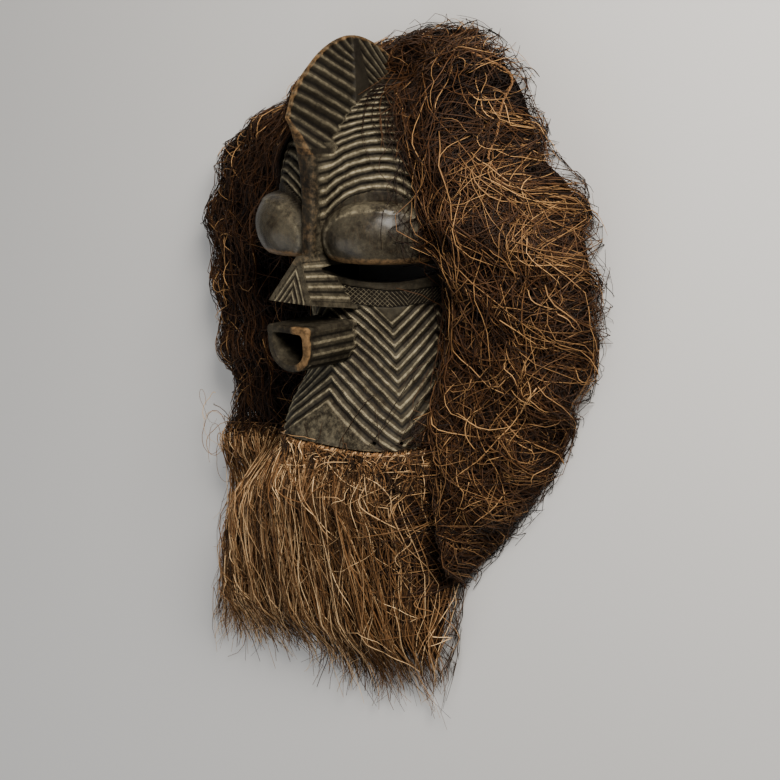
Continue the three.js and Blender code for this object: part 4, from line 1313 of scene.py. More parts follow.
def hold_in(x, y, slack, folded=False):
    """Bends or folds paths back where they would leave the mane's outline by more than the slack."""
    dx, dy = x - MANE_HEART[0], y - MANE_HEART[1]
    far = np.hypot(dx, dy)
    limit = reach_to(spline(MANE_OUTLINE, 400), MANE_HEART, x, y) - OUTLINE_SOFT
    over = np.maximum(far - limit, 0)
    room = slack + OUTLINE_SOFT
    bent = np.where(over > 0, limit + room * (1 - np.exp(-over / room)), far)
    back = far - FOLD_BACK * np.maximum(far - limit - room, 0)
    kept = np.where(folded, np.maximum(back, 0.6 * limit), bent)
    share = kept / np.maximum(far, 1)
    return MANE_HEART[0] + dx * share, MANE_HEART[1] + dy * share


def hold_off_face(x, y, slack, folded=False):
    """Bends or folds paths off the face where they would pass the mane's inner edge by the slack."""
    edge = np.interp(y, EDGE_LEVELS, EDGE_OUT) - slack
    edge = edge * (y < CROWN_Y + 6)
    room = 5.0
    short = np.maximum(edge + room - np.abs(x), 0)
    out = np.abs(x) + short - room * (1 - np.exp(-short / room))
    out = np.where(folded, np.abs(x) + FOLD_BACK * np.maximum(edge - np.abs(x), 0), out)
    beside = (y > CHIN_Y - 4) & (short > 0)
    return np.where(beside, np.where(x < 0, -out, out), x)


def off_wood(points, clear):
    """Pushes points out along the radius until they are clear of the wood and its crest."""
    x, y, z = points[..., 0], points[..., 1], points[..., 2]
    turn = np.degrees(np.arctan2(x, np.maximum(z, 0)))
    radius = np.hypot(x, np.maximum(z, 0))
    beside = (y > CHIN_Y - 2) & (y < CROWN_Y + 4) & (np.abs(turn) <= 90)
    skin = head_radius(turn, np.minimum(y, CROWN_Y - 1)) + lid_swell(turn, y) * (y > LID["shelf"] - 4)
    skin = skin + clear
    push = np.where(beside & (radius < skin), skin / np.maximum(radius, 1), 1.0)
    x = x * push
    z = np.where(z > 0, z * push, z)
    reach = np.hypot(y - CREST_FOCUS[0], z - CREST_FOCUS[1])
    over = (y > CREST_FOCUS[0]) & (reach < CREST_CLEAR_REACH) & (np.abs(x) < CREST_CLEAR_HALF)
    x = np.where(over, np.where(x < 0, -CREST_CLEAR_HALF, CREST_CLEAR_HALF), x)
    return np.stack([x, y, z], -1)


def tubes(paths, radii, sides=3):
    """Closed tubes along paths (count, steps, 3): rings across each tangent, capped at both ends."""
    count, steps, _ = paths.shape
    tangent = np.gradient(paths, axis=1)
    tangent /= np.maximum(np.linalg.norm(tangent, axis=-1, keepdims=True), 1e-9)
    up = np.array([0.05, 0.03, 1.0])
    across = np.cross(tangent, up)
    across /= np.maximum(np.linalg.norm(across, axis=-1, keepdims=True), 1e-9)
    over = np.cross(across, tangent)
    angle = np.arange(sides) * 2 * math.pi / sides + math.pi / 2
    ring = across[:, :, None] * np.cos(angle)[:, None] + over[:, :, None] * np.sin(angle)[:, None]
    points = paths[:, :, None] + ring * radii[:, :, None, None]
    first = (np.arange(count) * steps * sides)[:, None, None]
    row = (np.arange(steps - 1) * sides)[None, :, None]
    here = np.arange(sides)[None, None, :]
    after = (here + 1) % sides
    a, b = first + row + here, first + row + after
    c, d = b + sides, a + sides
    skin = np.stack([a, c, b, a, d, c], -1).reshape(-1, 3)
    fan = np.arange(1, sides - 1)
    start = first[:, 0]
    low = np.stack([start + 0 * fan, start + fan, start + fan + 1], -1).reshape(-1, 3)
    high = low[:, [0, 2, 1]] + (steps - 1) * sides
    return points.reshape(-1, 3), np.vstack([skin, low, high])


def strand_object(name, paths, radius, tone, sides=3):
    """One mesh of many strands, each with its own tone and a number that grows along it."""
    count, steps, _ = paths.shape
    along = np.linspace(0, 1, steps)
    taper = radius[:, None] * (1 - 0.45 * along ** 3)
    points, triangles = tubes(paths, taper, sides)
    points[:, 2] = np.maximum(points[:, 2], FLOOR + 0.3)
    attributes = {
        "tone": np.repeat(tone, steps * sides),
        "along": np.tile(np.repeat(along, sides), count),
    }
    return new_object(name, points, triangles, attributes)


def column_draws(random, count):
    """A function that draws a number between two limits for each strand, as a column."""
    return lambda low, high: random.uniform(low, high, (count, 1))


def wander(random, start, heading, length, steps, curl, waves):
    """Plan paths from start: the heading bends, swings by a sine wave and may kink up to twice."""
    count = len(start)
    draw = column_draws(random, count)
    s = np.linspace(0, 1, steps)[None, :]
    bend = random.normal(0, curl, (count, 1))
    swing = draw(0.1, 1.0) * curl
    rate = draw(0.5, waves)
    phase = draw(0, 2 * math.pi)
    kinks = np.where(random.random((2, count, 1)) < 0.6, random.normal(0, 0.85, (2, count, 1)), 0)
    places = random.uniform(0.15, 0.85, (2, count, 1))
    angle = heading[:, None] + bend * s + swing * (np.sin(2 * math.pi * rate * s + phase) - np.sin(phase))
    for kink, place in zip(kinks, places):
        angle = angle + kink * smooth_step(place - 0.04, place + 0.04, s)
    step = length[:, None] / (steps - 1)
    x = start[:, :1] + np.cumsum(np.cos(angle) * step, 1) - np.cos(angle[:, :1]) * step
    y = start[:, 1:2] + np.cumsum(np.sin(angle) * step, 1) - np.sin(angle[:, :1]) * step
    return x, y


def strand_tones_and_shade(random, depth, pale):
    """Tones of strands, with painted shade: nearly black deep in the tangle, all tones on top, a share of
    them paler.
    """
    count = len(depth)
    top = smooth_step(0.52, 0.98, depth)
    tone = 0.02 + random.beta(0.85, 1.35, count) * (0.04 + 0.86 * top)
    return np.clip(tone + (random.random(count) < pale) * 0.35 * top, 0, 1)


def strand_radii(settings, random, count):
    """Radii of strands: mostly thin, a few like narrow ribbons."""
    return settings.strand_width / MM / 2 * (0.55 + 1.15 * random.beta(1.4, 4.2, count))


def mane_paths(settings, heights, random, x, y):
    """Lays plan paths over the mane and the wood, each at its own depth in the tangle."""
    count = len(x)
    draw = column_draws(random, count)
    s = np.linspace(0, 1, x.shape[1])[None, :]
    over = random.random((count, 1)) < 0.07
    slack = random.exponential(6.0, (count, 1)) + over * draw(6, 32)
    x = hold_off_face(x, y, slack, random.random((count, 1)) < 0.6)
    loose = random.random((count, 1)) < 0.2
    level = random.random(count)
    slack = 12 * level[:, None] - 3 + loose * draw(2, 14)
    x, y = hold_in(x, y, slack, random.random((count, 1)) < 0.45)
    lift = -13 + 23 * level[:, None] + draw(0, 9) * np.sin(math.pi * s) * level[:, None]
    lift = lift + random.normal(0, 3, (count, 1)) * (s - 0.5) * 2
    lift = lift + 2.0 * np.sin(draw(4, 12) * s + draw(0, 6))
    z = heights.at(x, y) + lift
    paths = off_wood(np.stack([x, y, z], -1), draw(0.8, 6))
    return paths, strand_radii(settings, random, count), strand_tones_and_shade(random, level, 0.06)


def mane_strands(settings, heights, low, high, count, seed):
    """Tangled strands rooted between two shares of the mane, falling over its upper side.

    They set off outwards, along the outline and downwards, and about one in five any way at all.
    """
    random = np.random.default_rng(seed)
    share = random.uniform(low, high, count)
    reach = random.uniform(0, 1, count) ** 0.54 * 0.98
    root = mane_sections(share, reach)
    outward_way = unit(mane_sections(share, np.minimum(reach + 0.02, 1)) - root)
    down_share = np.where(share < 0.42, share - 0.01, share + 0.01)
    along_way = unit(mane_sections(np.clip(down_share, 0, 1), reach) - root)
    fall = 0.25 + 0.75 * np.clip((170 - root[:, 1]) / 220, 0.0, 1)
    way = 0.2 * outward_way + 0.6 * along_way + 1.3 * fall[:, None] * np.array([0.0, -1.0])
    heading = np.arctan2(way[:, 1], way[:, 0]) + random.normal(0, 0.5, count)
    heading = np.where(random.random(count) < 0.22, random.uniform(-math.pi, math.pi, count), heading)
    length = settings.strand_length / MM * (0.3 + 1.4 * random.beta(1.5, 2.4, count))
    x, y = wander(random, root[:, :2], heading, length, settings.strand_steps, curl=0.32, waves=2.0)
    paths, radius, tone = mane_paths(settings, heights, random, x, y)
    # Painted shade: strands over the crown and down the far side come out darker
    return paths, radius, tone * (1 - 0.42 * smooth_step(0.34, 0.44, share))


def unit(vectors):
    """Plan directions of the vectors."""
    flat = vectors[:, :2]
    return flat / np.maximum(np.linalg.norm(flat, axis=1, keepdims=True), 1e-6)


def edge_strands(settings, heights, count, seed):
    """Strands over the mane's inner edge, draped on the wood beside the forehead, eyes and cheeks."""
    random = np.random.default_rng(seed)
    y = random.uniform(EDGE_LEVELS[0], EDGE_LEVELS[-1], count)
    side = np.where(random.random(count) < 0.6, 1.0, -1.0)
    x = side * (np.interp(y, EDGE_LEVELS, EDGE_OUT) + random.uniform(-2, 22, count))
    down = -math.pi / 2 + side * random.normal(0.35, 0.5, count)
    heading = np.where(random.random(count) < 0.25, random.uniform(-math.pi, math.pi, count), down)
    length = random.uniform(35, 120, count)
    start = np.stack([x, y], 1)
    plan = wander(random, start, heading, length, settings.strand_steps, curl=0.4, waves=2.0)
    return mane_paths(settings, heights, random, *plan)


def beard_head_line(u):
    """Head of the beard: from the far mane's end along the chin's edge, at shares across."""
    return np.stack([np.interp(u, BEARD_HEAD[:, 0], BEARD_HEAD[:, k]) for k in (1, 2, 3)], -1)


def beard_table(y, column):
    """A column of the beard's table at levels between its rows."""
    return smooth_run(BEARD[::-1, 0], BEARD[::-1, column], y)


def beard_place(u, w):
    """Upper side of the beard: u across from -1 to 1, w down from 0 to 1, domed and locked."""
    u, w = np.broadcast_arrays(u, w)
    head = beard_head_line(u)
    x = mix(head[..., 0], mix(*BEARD_FOOT, (u + 1) / 2), w ** 0.75)
    y = mix(head[..., 1], BEARD_END, w)
    inside = np.clip(np.abs(x - beard_table(y, 1)) / beard_table(y, 2), 0, 1)
    dome = (1 - inside ** 3.2) ** 0.45
    full = mix(FLOOR + 14, beard_table(y, 3), dome) + 3.4 * np.sin((u + 1) * BEARD_LOCKS * math.pi) * dome
    return np.stack([x, y, mix(head[..., 2], full, smooth_step(0, 0.3, w))], -1)


def beard_under(sink):
    """Closed matted body of the beard below its loose strands."""
    w = np.linspace(0, 0.84, 50)[:, None]
    u = mix(-0.985, 0.93 - 0.12 * w ** 4, np.linspace(0, 1, 110)[None, :])
    upper = beard_place(u, w)
    upper[..., 2] = mix(upper[..., 2] - sink, FLOOR, smooth_step(0.6, 0.84, w))
    upper[..., 2] = upper[..., 2] + 2.4 * wobble(upper * [1, 0.15, 1], 12, SEED["beard_broad"])
    upper[..., 1] = upper[..., 1] + 60 * w ** 4 * wobble(upper * [1, 0, 0], 30, SEED["beard_end"])
    lower = np.maximum(beard_table(upper[..., 1], 4), FLOOR)
    upper[..., 2] = np.maximum(upper[..., 2], lower + 3)
    under = upper[:, [-1, 0]].copy()
    under[..., 2] = lower[:, [-1, 0]]
    loops = np.concatenate([upper, under], 1)
    head = loops[:1] + [0, 7.5, 0]
    return loft(np.concatenate([head, loops]))


def beard_end(u):
    """Level of the ragged lower end, lowest a little to the mask's left of its middle."""
    return smooth_run(BEARD_ENDS[:, 0], BEARD_ENDS[:, 1], u) + 5 * np.sin(19 * u + 1) + 4 * np.sin(43 * u)


def beard_strands(settings, heights, count, seed, start_low, start_high):
    """Strands that hang down the beard, some of them across the others, with ragged hooked ends."""
    random = np.random.default_rng(seed)
    draw = column_draws(random, count)
    s = np.linspace(0, 1, settings.beard_steps)[None, :]
    u0 = draw(-1, 1)
    level = random.random(count)
    start = beard_place(u0, draw(start_low, start_high))
    start[..., 1] += draw(-12, 9) * smooth_step(-0.35, -0.6, u0)
    share = np.where(random.random((count, 1)) < 0.62, 1.0, draw(0.25, 0.95))
    lowest = beard_end(u0) + random.normal(2, 13, (count, 1)) + 42 * (1 - level[:, None])
    stop = mix(start[..., 1], lowest, share)
    y = mix(start[..., 1], stop, s)
    sway = draw(0.004, 0.03) * np.sin(draw(2, 13) * s + draw(0, 6))
    u = u0 + random.normal(0, 0.1, (count, 1)) * s ** draw(0.6, 2) + sway
    head_y = beard_head_line(u)[..., 1]
    down = np.clip((y - head_y) / (BEARD_END - head_y), 0, 1)
    x = beard_place(u, down)[..., 0]
    drop = start[..., 1] - stop
    for _ in range(2):
        x = x + random.normal(0, 0.17, (count, 1)) * np.maximum(s - draw(0.1, 0.95), 0) * drop
    hook = random.normal(0, 22, (count, 1)) * np.clip((s - 0.75) / 0.25, 0, 1) ** 2
    x = x + hook * (random.random((count, 1)) < 0.5)
    x = x - random.exponential(20, (count, 1)) * (u0 < -0.75) * s ** 1.5 * level[:, None]
    across = random.random((count, 1)) < 0.24
    heading = random.normal(-math.pi / 2, 0.7, count)
    length = random.uniform(35, 125, count)
    steps = settings.beard_steps
    across_x, across_y = wander(random, start[:, 0, :2], heading, length, steps, curl=0.4, waves=2.0)
    x = np.where(across, across_x, x)
    x = x + BEARD_FOLD_FAR * np.maximum(BEARD_FAR_LIMIT + draw(0, 14) - x, 0)
    near_edge = beard_place(np.ones_like(y), down)[..., 0]
    x = x - BEARD_FOLD_NEAR * np.maximum(x - near_edge - draw(-4, 12), 0)
    y = np.maximum(np.where(across, across_y, y), BEARD_LIMIT + 6 * random.random((count, 1)))
    lift = -9 + 15 * level[:, None] + draw(0, 9) * np.sin(math.pi * s) * level[:, None]
    lift = lift + 15 * smooth_step(-0.4, -0.7, u0) * smooth_step(0.6, 0.1, s)
    z = heights.at(x, y) + lift + draw(0, 8) * s ** 3
    z = mix(z, FLOOR + 1 + 13 * level[:, None], 0.8 * smooth_step(-430, -515, y))
    paths = off_wood(np.stack([x, y, z], -1), 0.8)
    # Painted light: strands at the beard's far upper shoulder count as nearer the top, so they come out
    # lighter
    depth = 0.08 + level + 0.5 * (u0[:, 0] < -0.45)
    return paths, strand_radii(settings, random, count), strand_tones_and_shade(random, depth, 0.26)


def cord_line(turn):
    """Middle line of the header cord along the chin's end."""
    return around(turn, CHIN_Y - CORD_BELOW_CHIN, head_radius(turn, CHIN_Y) - CORD_INSET)


def beard_head(settings, count, seed):
    """Short strands looped over the header cord, from behind it over its top and down."""
    random = np.random.default_rng(seed)
    draw = column_draws(random, count)
    s = np.linspace(0, 1, settings.strand_steps)[None, :]
    turn = draw(-84, 84)
    arc = mix(-1.2, 1.6, np.clip(s / 0.4, 0, 1))
    lean = draw(4.2, 7)
    drop = np.clip((s - 0.3) / 0.7, 0, 1) ** 1.2 * draw(6, 50)
    slide = random.normal(0, 9, (count, 1)) * s + random.normal(0, 9, (count, 1)) * s * s
    slide = slide + 2.5 * np.sin(draw(3, 12) * s)
    off = np.sin(arc) * lean + drop * draw(0.0, 0.2) - 1.5
    paths = cord_line(turn) + off[..., None] * ray(turn) + slide[..., None] * ray(turn + 90)
    paths[..., 1] += np.cos(arc) * lean - drop
    return paths, strand_radii(settings, random, count), strand_tones_and_shade(random, random.random(count), 0.5)


def chin_tangle(settings, count, seed):
    """Strands that run along the beard's head round the cord, some in loops over the wood."""
    random = np.random.default_rng(seed)
    draw = column_draws(random, count)
    s = np.linspace(0, 1, settings.strand_steps)[None, :]
    side = np.where(random.random((count, 1)) < 0.5, 1.0, -1.0)
    u = np.clip(draw(-1, 1) + side * draw(0.02, 0.22) * s, -1, 1)
    path = beard_head_line(u)
    way = np.stack([0.8 * np.clip(path[..., 0] / 100, -1, 1), 0 * u, 0.5 + path[..., 2] / 133], -1)
    way = way / np.linalg.norm(way, axis=-1, keepdims=True)
    looped = random.random((count, 1)) < 0.2
    swing = draw(1, 8) + looped * draw(2, 12)
    rise = random.normal(-6, 7, (count, 1)) + random.normal(-5, 9, (count, 1)) * s
    rise = rise + swing * np.sin(math.pi * s * draw(0.6, 2.2))
    level = random.random(count)
    off = -2 + 8 * level[:, None] + 2 * np.sin(draw(3, 9) * s)
    path = path + off[..., None] * way
    free = (random.random((count, 1)) < 0.1) * draw(2, 16)
    path[..., 1] += np.minimum(rise, 5 + free)
    path = off_wood(path, draw(0.8, 3))
    return path, strand_radii(settings, random, count), strand_tones_and_shade(random, 0.35 + 0.65 * level, 0.15)


def far_loops(settings, count, seed):
    """Wide loose loops of fibre that stand out beside the beard's far upper corner."""
    random = np.random.default_rng(seed)
    draw = column_draws(random, count)
    s = np.linspace(0, 1, settings.strand_steps * 2)[None, :]
    angle = draw(0.2, 1.2) + draw(3.6, 5.2) * s
    reach = draw(9, 17) * (1 + 0.3 * np.sin(2 * angle + draw(0, 6)))
    x = draw(-300, -268) + 1.1 * reach * np.cos(angle)
    y = draw(-290, -215) + 1.5 * reach * np.sin(angle)
    z = draw(-8, 22) + 9 * np.sin(angle * 0.7 + draw(0, 6))
    paths = np.stack([np.maximum(x, LOOP_FAR_LIMIT), y, z], -1)
    return paths, strand_radii(settings, random, count) * 0.9, random.uniform(0.4, 0.9, count)


def strays(settings, heights, count, seed):
    """Loose strands that pass the mane's outline and curl low over the ground, near the solids' box."""
    random = np.random.default_rng(seed)
    draw = column_draws(random, count)
    share = random.uniform(0, 1, count)
    root = mane_sections(share, random.uniform(0.6, 0.97, count))
    outer = mane_sections(share, np.full(count, 0.99))
    way = (outer - root)[:, :2]
    heading = np.arctan2(way[:, 1], way[:, 0]) + random.normal(0, 0.8, count)
    length = random.uniform(25, 75, count)
    steps = settings.strand_steps
    x, y = wander(random, root[:, :2], heading, length, steps, curl=0.7, waves=1.6)
    low = np.array(CAD_BOX[0]) / MM - SHIFT - STRAY_PAST_BOX
    high = np.array(CAD_BOX[1]) / MM - SHIFT + STRAY_PAST_BOX
    x = hold_off_face(x, y, random.exponential(9.0, (count, 1)))
    x, y = hold_in(x, y, draw(8, 22))
    x = np.clip(x, low[0], high[0])
    y = np.clip(y, low[1], high[1])
    s = np.linspace(0, 1, steps)[None, :]
    arch = draw(1, 16) * np.sin(math.pi * s) + draw(0, 8) * s
    paths = off_wood(np.stack([x, y, heights.at(x, y) + 1.5 + arch], -1), 1.0)
    radius = settings.strand_width / MM / 2 * random.uniform(0.6, 1.0, count)
    return paths, radius, random.uniform(0.4, 1.0, count)


def wood_keep_out():
    """Head lump a little larger than the wood, for cutting the mane's body to it."""
    turn, level = np.meshgrid(np.linspace(-90, 90, 60), head_rows(85, 6.0, 24))
    level[0] -= 1
    lid = lid_swell(turn, level) * (level > LID["shelf"])
    points = around(turn, level, head_radius(turn, level) + lid + KEEP_OFF_WOOD)
    back = points[:, [-1, 0]].copy()
    back[..., 2] = -KEEP_OFF_WOOD / 2
    points[:, [0, -1], 2] = 0
    return loft(np.concatenate([points, back], 1))


def crest_keep_out():
    """Plain crest a little thicker than the carved one."""
    share = np.array([0.3, 1.01, 1.01, 0.3])[:, None, None]
    half = np.array([12.0, 3.4, -3.4, -12.0])[:, None]
    place = CREST_FOCUS + share * (crest_outline(120) - CREST_FOCUS)
    return loft(points_at(half, place[..., 0], place[..., 1]))


def two_plies(line, sideways, radius, turns):
    """Two paths that wind round a line, radius mm from it."""
    lay = np.linspace(0, 2 * math.pi * turns, len(line))[:, None]
    way = np.gradient(line, axis=0)
    way /= np.linalg.norm(way, axis=1, keepdims=True)
    over = np.cross(way, sideways)
    turned = (lay, lay + math.pi)
    return np.stack([line + radius * (np.cos(angle) * over + np.sin(angle) * sideways) for angle in turned])


def cord_object(name, line, sideways, plies):
    """Two-ply cord wound round a line."""
    paths = two_plies(line, sideways, plies["apart"], plies["turns"])
    return strand_object(name, paths, np.full(2, plies["radius"]), np.array(plies["tones"]), plies["sides"])


def axes_rotation(back, up):
    """Euler turn of an object whose +Z points along back and whose +Y leans towards up."""
    z = back / np.linalg.norm(back)
    x = np.cross(up, z)
    x = x / np.linalg.norm(x)
    y = np.cross(z, x)
    return Matrix(np.stack([x, y, z], 1).tolist()).to_euler()


class WoodSettings(bpy.types.PropertyGroup):
    """Sizes and colours of the carved wood"""

    cell_size: bpy.props.FloatProperty(
        name="Cell size", description="Width of a cell of the carved skin", default=0.00168, unit="LENGTH")
    brow_depth: bpy.props.FloatProperty(
        name="Brow grooves", description="Depth of the grooves over the eyes, in mm", default=3.6)
    cheek_depth: bpy.props.FloatProperty(
        name="Cheek channels", description="Depth of the zigzag channels, in mm", default=3.2)
    crest_depth: bpy.props.FloatProperty(
        name="Crest grooves", description="Depth of the grooves on the crest, in mm", default=3.0)
    nose_depth: bpy.props.FloatProperty(
        name="Nose grooves", description="Depth of the grooves on the nose, in mm", default=1.9)
    mouth_depth: bpy.props.FloatProperty(
        name="Mouth grooves", description="Depth of the grooves beside the mouth, in mm", default=1.8)
    dust_amount: bpy.props.FloatProperty(
        name="Dust", description="Strength of the pale dust on the crests", default=0.9, subtype="FACTOR")
    patina_colour: bpy.props.FloatVectorProperty(
        name="Patina", description="Dark patina", default=(0.010, 0.0075, 0.0048), subtype="COLOR")
    patina_light: bpy.props.FloatVectorProperty(
        name="Patina, greyer", description="Greyer places of the patina", default=(0.034, 0.029, 0.020),
        subtype="COLOR")
    wood_brown: bpy.props.FloatVectorProperty(
        name="Brown grain", description="Brown wood that shows along the grain",
        default=(0.055, 0.034, 0.018), subtype="COLOR")
    dust_colour: bpy.props.FloatVectorProperty(
        name="Dust colour", description="Khaki clay dust", default=(0.36, 0.30, 0.185), subtype="COLOR")
    worn_colour: bpy.props.FloatVectorProperty(
        name="Worn wood", description="Bare brown wood at worn edges", default=(0.20, 0.115, 0.05),
        subtype="COLOR")


class FibreSettings(bpy.types.PropertyGroup):
    """Sizes, numbers and colours of the raffia"""

    strand_width: bpy.props.FloatProperty(
        name="Strand width", description="Width of one strand", default=0.00112, unit="LENGTH")
    strand_length: bpy.props.FloatProperty(
        name="Mane strand", description="Usual length of a mane strand", default=0.118, unit="LENGTH")
    strand_steps: bpy.props.IntProperty(
        name="Steps", description="Places along one strand of the mane", default=9)
    beard_steps: bpy.props.IntProperty(
        name="Beard steps", description="Places along one strand of the beard", default=12)
    near_count: bpy.props.IntProperty(
        name="Near strands", description="Strands on the mask's left", default=3950)
    crown_count: bpy.props.IntProperty(
        name="Crown strands", description="Strands over the crown", default=2000)
    far_count: bpy.props.IntProperty(
        name="Far strands", description="Strands on the mask's right", default=2500)
    beard_count: bpy.props.IntProperty(
        name="Beard strands", description="Strands that hang in the beard", default=2860)
    mane_dark: bpy.props.FloatVectorProperty(
        name="Mane, dark", description="Darkest mane strands",
        default=(0.005, 0.0024, 0.0013), subtype="COLOR")
    mane_light: bpy.props.FloatVectorProperty(
        name="Mane, usual", description="Usual mane strands",
        default=(0.082, 0.034, 0.0112), subtype="COLOR")
    mane_tip: bpy.props.FloatVectorProperty(
        name="Mane, pale", description="Palest mane strands", default=(0.52, 0.29, 0.115), subtype="COLOR")
    beard_dark: bpy.props.FloatVectorProperty(
        name="Beard, dark", description="Darkest beard strands",
        default=(0.008, 0.004, 0.002), subtype="COLOR")
    beard_light: bpy.props.FloatVectorProperty(
        name="Beard, usual", description="Usual beard strands",
        default=(0.255, 0.121, 0.043), subtype="COLOR")
    beard_tip: bpy.props.FloatVectorProperty(
        name="Beard, pale", description="Palest beard strands", default=(1.0, 0.67, 0.34), subtype="COLOR")


class StageSettings(bpy.types.PropertyGroup):
    """Floor and light"""

    floor_colour: bpy.props.FloatVectorProperty(
        name="Floor", description="Pale floor", default=(0.62, 0.60, 0.57), subtype="COLOR")
    key_power: bpy.props.FloatProperty(
        name="Key light", description="Power of the large soft light", default=84.0, unit="POWER")
    fill_power: bpy.props.FloatProperty(
        name="Fill light", description="Power of the fill light", default=17.0, unit="POWER")


def kept_piece(piece, material, slot, *nodes):
    """Dresses a piece, lets it ride on the only body and hides any parts it replaces."""
    piece.data.materials.clear()
    piece.data.materials.append(material)
    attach(piece, "root")
    if nodes:
        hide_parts(*nodes)


def keep_strands(groups, material, slot):
    """One dressed piece for each named group of strands."""
    for name, strands in groups.items():
        kept_piece(strand_object(name, *strands), material, slot)


def raffia_finishes(strand_name, body_name, colours, body_share):
    """Finishes of loose strands and of the matted body below them, whose colours are brought down to a share
    of the strands' as painted shade.
    """
    dark, light, _ = colours
    strands = fibre_material(strand_name, *colours)
    return strands, under_material(body_name, darker(dark, 0.3), darker(light, body_share))


def beard_colours(settings):
    """Colours of the beard and of both cords, from dark to pale."""
    return settings.beard_dark, settings.beard_light, settings.beard_tip


class MASK_OT_carve_wood(bpy.types.Operator):
    """Carve the wooden mask: head, crest, ridge, nose, mouth, hollow and slits"""

    bl_idname = "mask.carve_wood"
    bl_label = "Carve the wood"

    def execute(self, context):
        settings = context.scene.mask_wood
        joined = [crest_solid(settings), ridge_solid(), nose_solid(settings), mouth_solid(settings)]
        removed = [hollow_solid(), mouth_bore(), slit_solid(1), slit_solid(-1)]
        removed += [tie_hole(turn) for turn in TIE_TURNS]
        piece = join_and_cut("carved_wood", head_solid(settings), joined, removed)
        write_attributes(piece, wood_attributes(mesh_points(piece.data)))
        kept_piece(piece, wood_material(settings), "carved_wood", "wooden_mask")
        return {"FINISHED"}


class MASK_OT_lay_mane(bpy.types.Operator):
    """Lay the raffia mane round the wood"""

    bl_idname = "mask.lay_mane"
    bl_label = "Lay the mane"

    def execute(self, context):
        settings = context.scene.mask_fibre
        colours = settings.mane_dark, settings.mane_light, settings.mane_tip
        strand_finish, body_finish = raffia_finishes("mane_raffia", "mane_matted_shade", colours, 0.09)
        keep_outs = [wood_keep_out(), crest_keep_out()]
        body = join_and_cut("mane_matted_body", mane_under(MANE_SINK), [], keep_outs)
        kept_piece(body, body_finish, "mane_raffia", "raffia_mane")
        heights = HeightMap()
        counts = {"near": settings.near_count, "crown": settings.crown_count, "far": settings.far_count}
        groups = {
            f"mane_{part}_strands": mane_strands(settings, heights, *MANE_SPANS[part], count, SEED[part])
            for part, count in counts.items()
        }
        groups["mane_edge_strands"] = edge_strands(settings, heights, EDGE_COUNT, SEED["edge"])
        groups["mane_stray_strands"] = strays(settings, heights, STRAY_COUNT, SEED["stray"])
        keep_strands(groups, strand_finish, "mane_raffia")
        return {"FINISHED"}


class MASK_OT_hang_beard(bpy.types.Operator):
    """Hang the raffia beard below the chin"""

    bl_idname = "mask.hang_beard"
    bl_label = "Hang the beard"

    def execute(self, context):
        settings = context.scene.mask_fibre
        colours = beard_colours(settings)
        strand_finish, body_finish = raffia_finishes("beard_raffia", "beard_matted_shade", colours, 0.1)
        body = new_object("beard_matted_body", *beard_under(BEARD_SINK))
        kept_piece(body, body_finish, "beard_raffia", "raffia_beard")
        heights = HeightMap()
        half = settings.beard_count // 2
        keep_strands({
            "beard_upper_strands": beard_strands(settings, heights, half, SEED["beard_upper"], 0.0, 0.1),
            "beard_lower_strands": beard_strands(settings, heights, half, SEED["beard_lower"], 0.0, 0.75),
            "beard_head_strands": beard_head(settings, BEARD_HEAD_COUNT, SEED["beard_head"]),
            "chin_tangle_strands": chin_tangle(settings, CHIN_TANGLE_COUNT, SEED["chin_tangle"]),
            "beard_loop_strands": far_loops(settings, LOOP_COUNT, SEED["loops"]),
        }, strand_finish, "beard_raffia")
        return {"FINISHED"}


class MASK_OT_twist_cord(bpy.types.Operator):
    """Twist the two-ply header cord along the chin"""

    bl_idname = "mask.twist_cord"
    bl_label = "Twist the header cord"

    def execute(self, context):
        turn = np.linspace(-CORD_REACH, CORD_REACH, 220)
        piece = cord_object("twisted_header_cord", cord_line(turn), ray(turn), HEADER_PLIES)
        finish = fibre_material("twisted_cord", *beard_colours(context.scene.mask_fibre))
        kept_piece(piece, finish, "twisted_cord", "beard_header_cord")
        self.add_mane_cord(finish)
        return {"FINISHED"}

    def add_mane_cord(self, finish):
        """Thin two-ply cord that lies on the mane beside the crown."""
        plan = spline(MANE_CORD, 150)
        line = np.column_stack([plan, HeightMap().at(*plan.T) + MANE_CORD_RISE])
        sideways = np.cross(np.gradient(line, axis=0), [0.0, 0.0, 1.0])
        sideways /= np.linalg.norm(sideways, axis=1, keepdims=True)
        kept_piece(cord_object("mane_edge_cord", line, sideways, THIN_PLIES), finish, "mane_raffia")


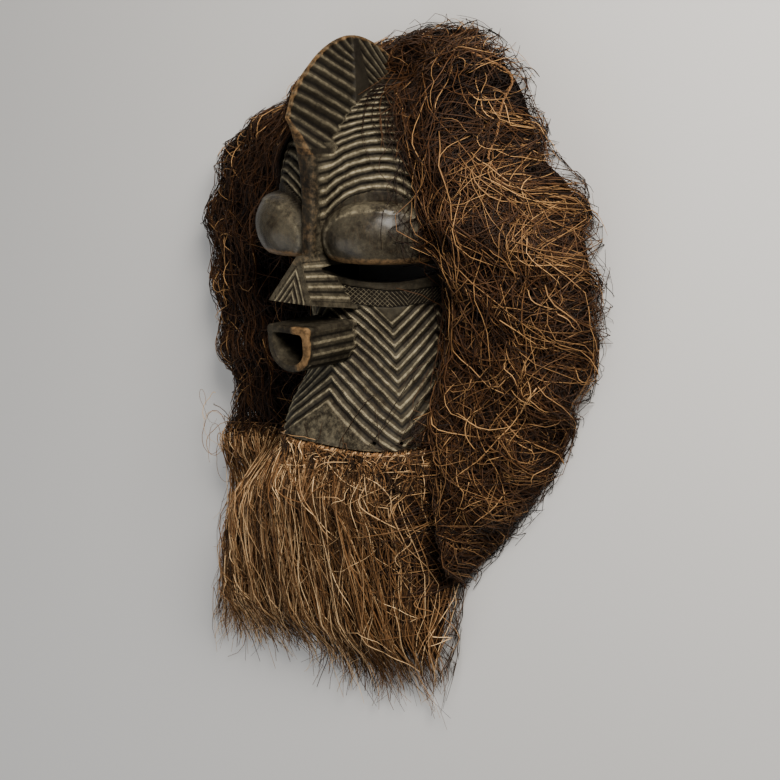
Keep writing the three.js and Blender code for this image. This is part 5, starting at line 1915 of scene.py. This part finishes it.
class MASK_OT_set_stage(bpy.types.Operator):
    """Set the pale floor, the soft lights and the camera"""

    bl_idname = "mask.set_stage"
    bl_label = "Set the stage"

    def execute(self, context):
        settings = context.scene.mask_stage
        corners = FLOOR_REACH * np.array([(-1, -1), (1, -1), (1, 1), (-1, 1)])
        corners = np.column_stack([corners, np.full(4, FLOOR)])
        floor = new_object("floor", corners, np.array([(0, 1, 2), (0, 2, 3)]), smooth=False)
        finish = Shading("floor_paper")
        floor.data.materials.append(finish.finish(Base_Color=settings.floor_colour, Roughness=0.85))
        self.add_light(context, "key", KEY_LIGHT, settings.key_power)
        self.add_light(context, "fill", FILL_LIGHT, settings.fill_power)
        world = bpy.data.worlds.new("soft_room")
        world.use_nodes = True
        background = world.node_tree.nodes["Background"]
        background.inputs["Color"].default_value = (*ROOM_COLOUR, 1.0)
        background.inputs["Strength"].default_value = ROOM_LIGHT
        context.scene.world = world
        self.add_camera(context)
        return {"FINISHED"}

    def add_light(self, context, name, plan, power):
        """Square area light at its plan's place in the mask's frame, aimed where the camera aims."""
        lamp = bpy.data.lights.new(name, "AREA")
        lamp.size = plan["size"]
        lamp.energy = power
        lamp.color = plan["colour"]
        light = bpy.data.objects.new(name, lamp)
        place = np.array(plan["place"], float)
        light.location = (place + SHIFT) * MM
        light.rotation_euler = axes_rotation(place - CAMERA_AIM, PICTURE_UP)
        context.scene.collection.objects.link(light)

    def add_camera(self, context):
        """Camera at the photograph's angle, with the mask's +Y upright in the picture."""
        turn, rise = CAMERA_TURN, CAMERA_RISE
        way = np.array([math.sin(turn) * math.cos(rise), math.sin(rise), math.cos(turn) * math.cos(rise)])
        lens = bpy.data.cameras.new("photo_camera")
        lens.sensor_width = SENSOR_WIDTH
        lens.lens = lens.sensor_width * FOCAL_PIXELS / IMAGE_SIDE
        camera = bpy.data.objects.new("photo_camera", lens)
        camera.location = (CAMERA_AIM + CAMERA_DISTANCE * way + SHIFT) * MM
        camera.rotation_euler = axes_rotation(way, PICTURE_UP)
        context.scene.collection.objects.link(camera)
        context.scene.camera = camera


class MASK_PT_panel(bpy.types.Panel):
    """Lists the steps and their settings"""

    bl_idname = "MASK_PT_panel"
    bl_label = "Kifwebe mask"
    bl_space_type = "VIEW_3D"
    bl_region_type = "UI"
    bl_category = "Mask"

    def draw(self, context):
        for group in ("mask_wood", "mask_fibre", "mask_stage"):
            settings = getattr(context.scene, group)
            box = self.layout.box()
            for name in settings.bl_rna.properties.keys():
                if name not in ("rna_type", "name"):
                    box.prop(settings, name)
        for operator in OPERATORS:
            self.layout.operator(operator.bl_idname)


OPERATORS = (MASK_OT_set_stage, MASK_OT_carve_wood, MASK_OT_lay_mane, MASK_OT_hang_beard, MASK_OT_twist_cord)
GROUPS = {"mask_wood": WoodSettings, "mask_fibre": FibreSettings, "mask_stage": StageSettings}


def register():
    """Registers the settings, the operators and the panel."""
    for group in GROUPS.values():
        bpy.utils.register_class(group)
    for name, group in GROUPS.items():
        setattr(bpy.types.Scene, name, bpy.props.PointerProperty(type=group))
    for made in (*OPERATORS, MASK_PT_panel):
        bpy.utils.register_class(made)


def unregister():
    """Takes them away again in the opposite order."""
    for made in (MASK_PT_panel, *reversed(OPERATORS)):
        bpy.utils.unregister_class(made)
    for name, group in GROUPS.items():
        delattr(bpy.types.Scene, name)
        bpy.utils.unregister_class(group)


def main():
    """Makes the whole mask."""
    register()
    bpy.ops.mask.set_stage()
    bpy.ops.mask.carve_wood()
    bpy.ops.mask.lay_mane()
    bpy.ops.mask.hang_beard()
    bpy.ops.mask.twist_cord()


if __name__ == "__main__":
    main()
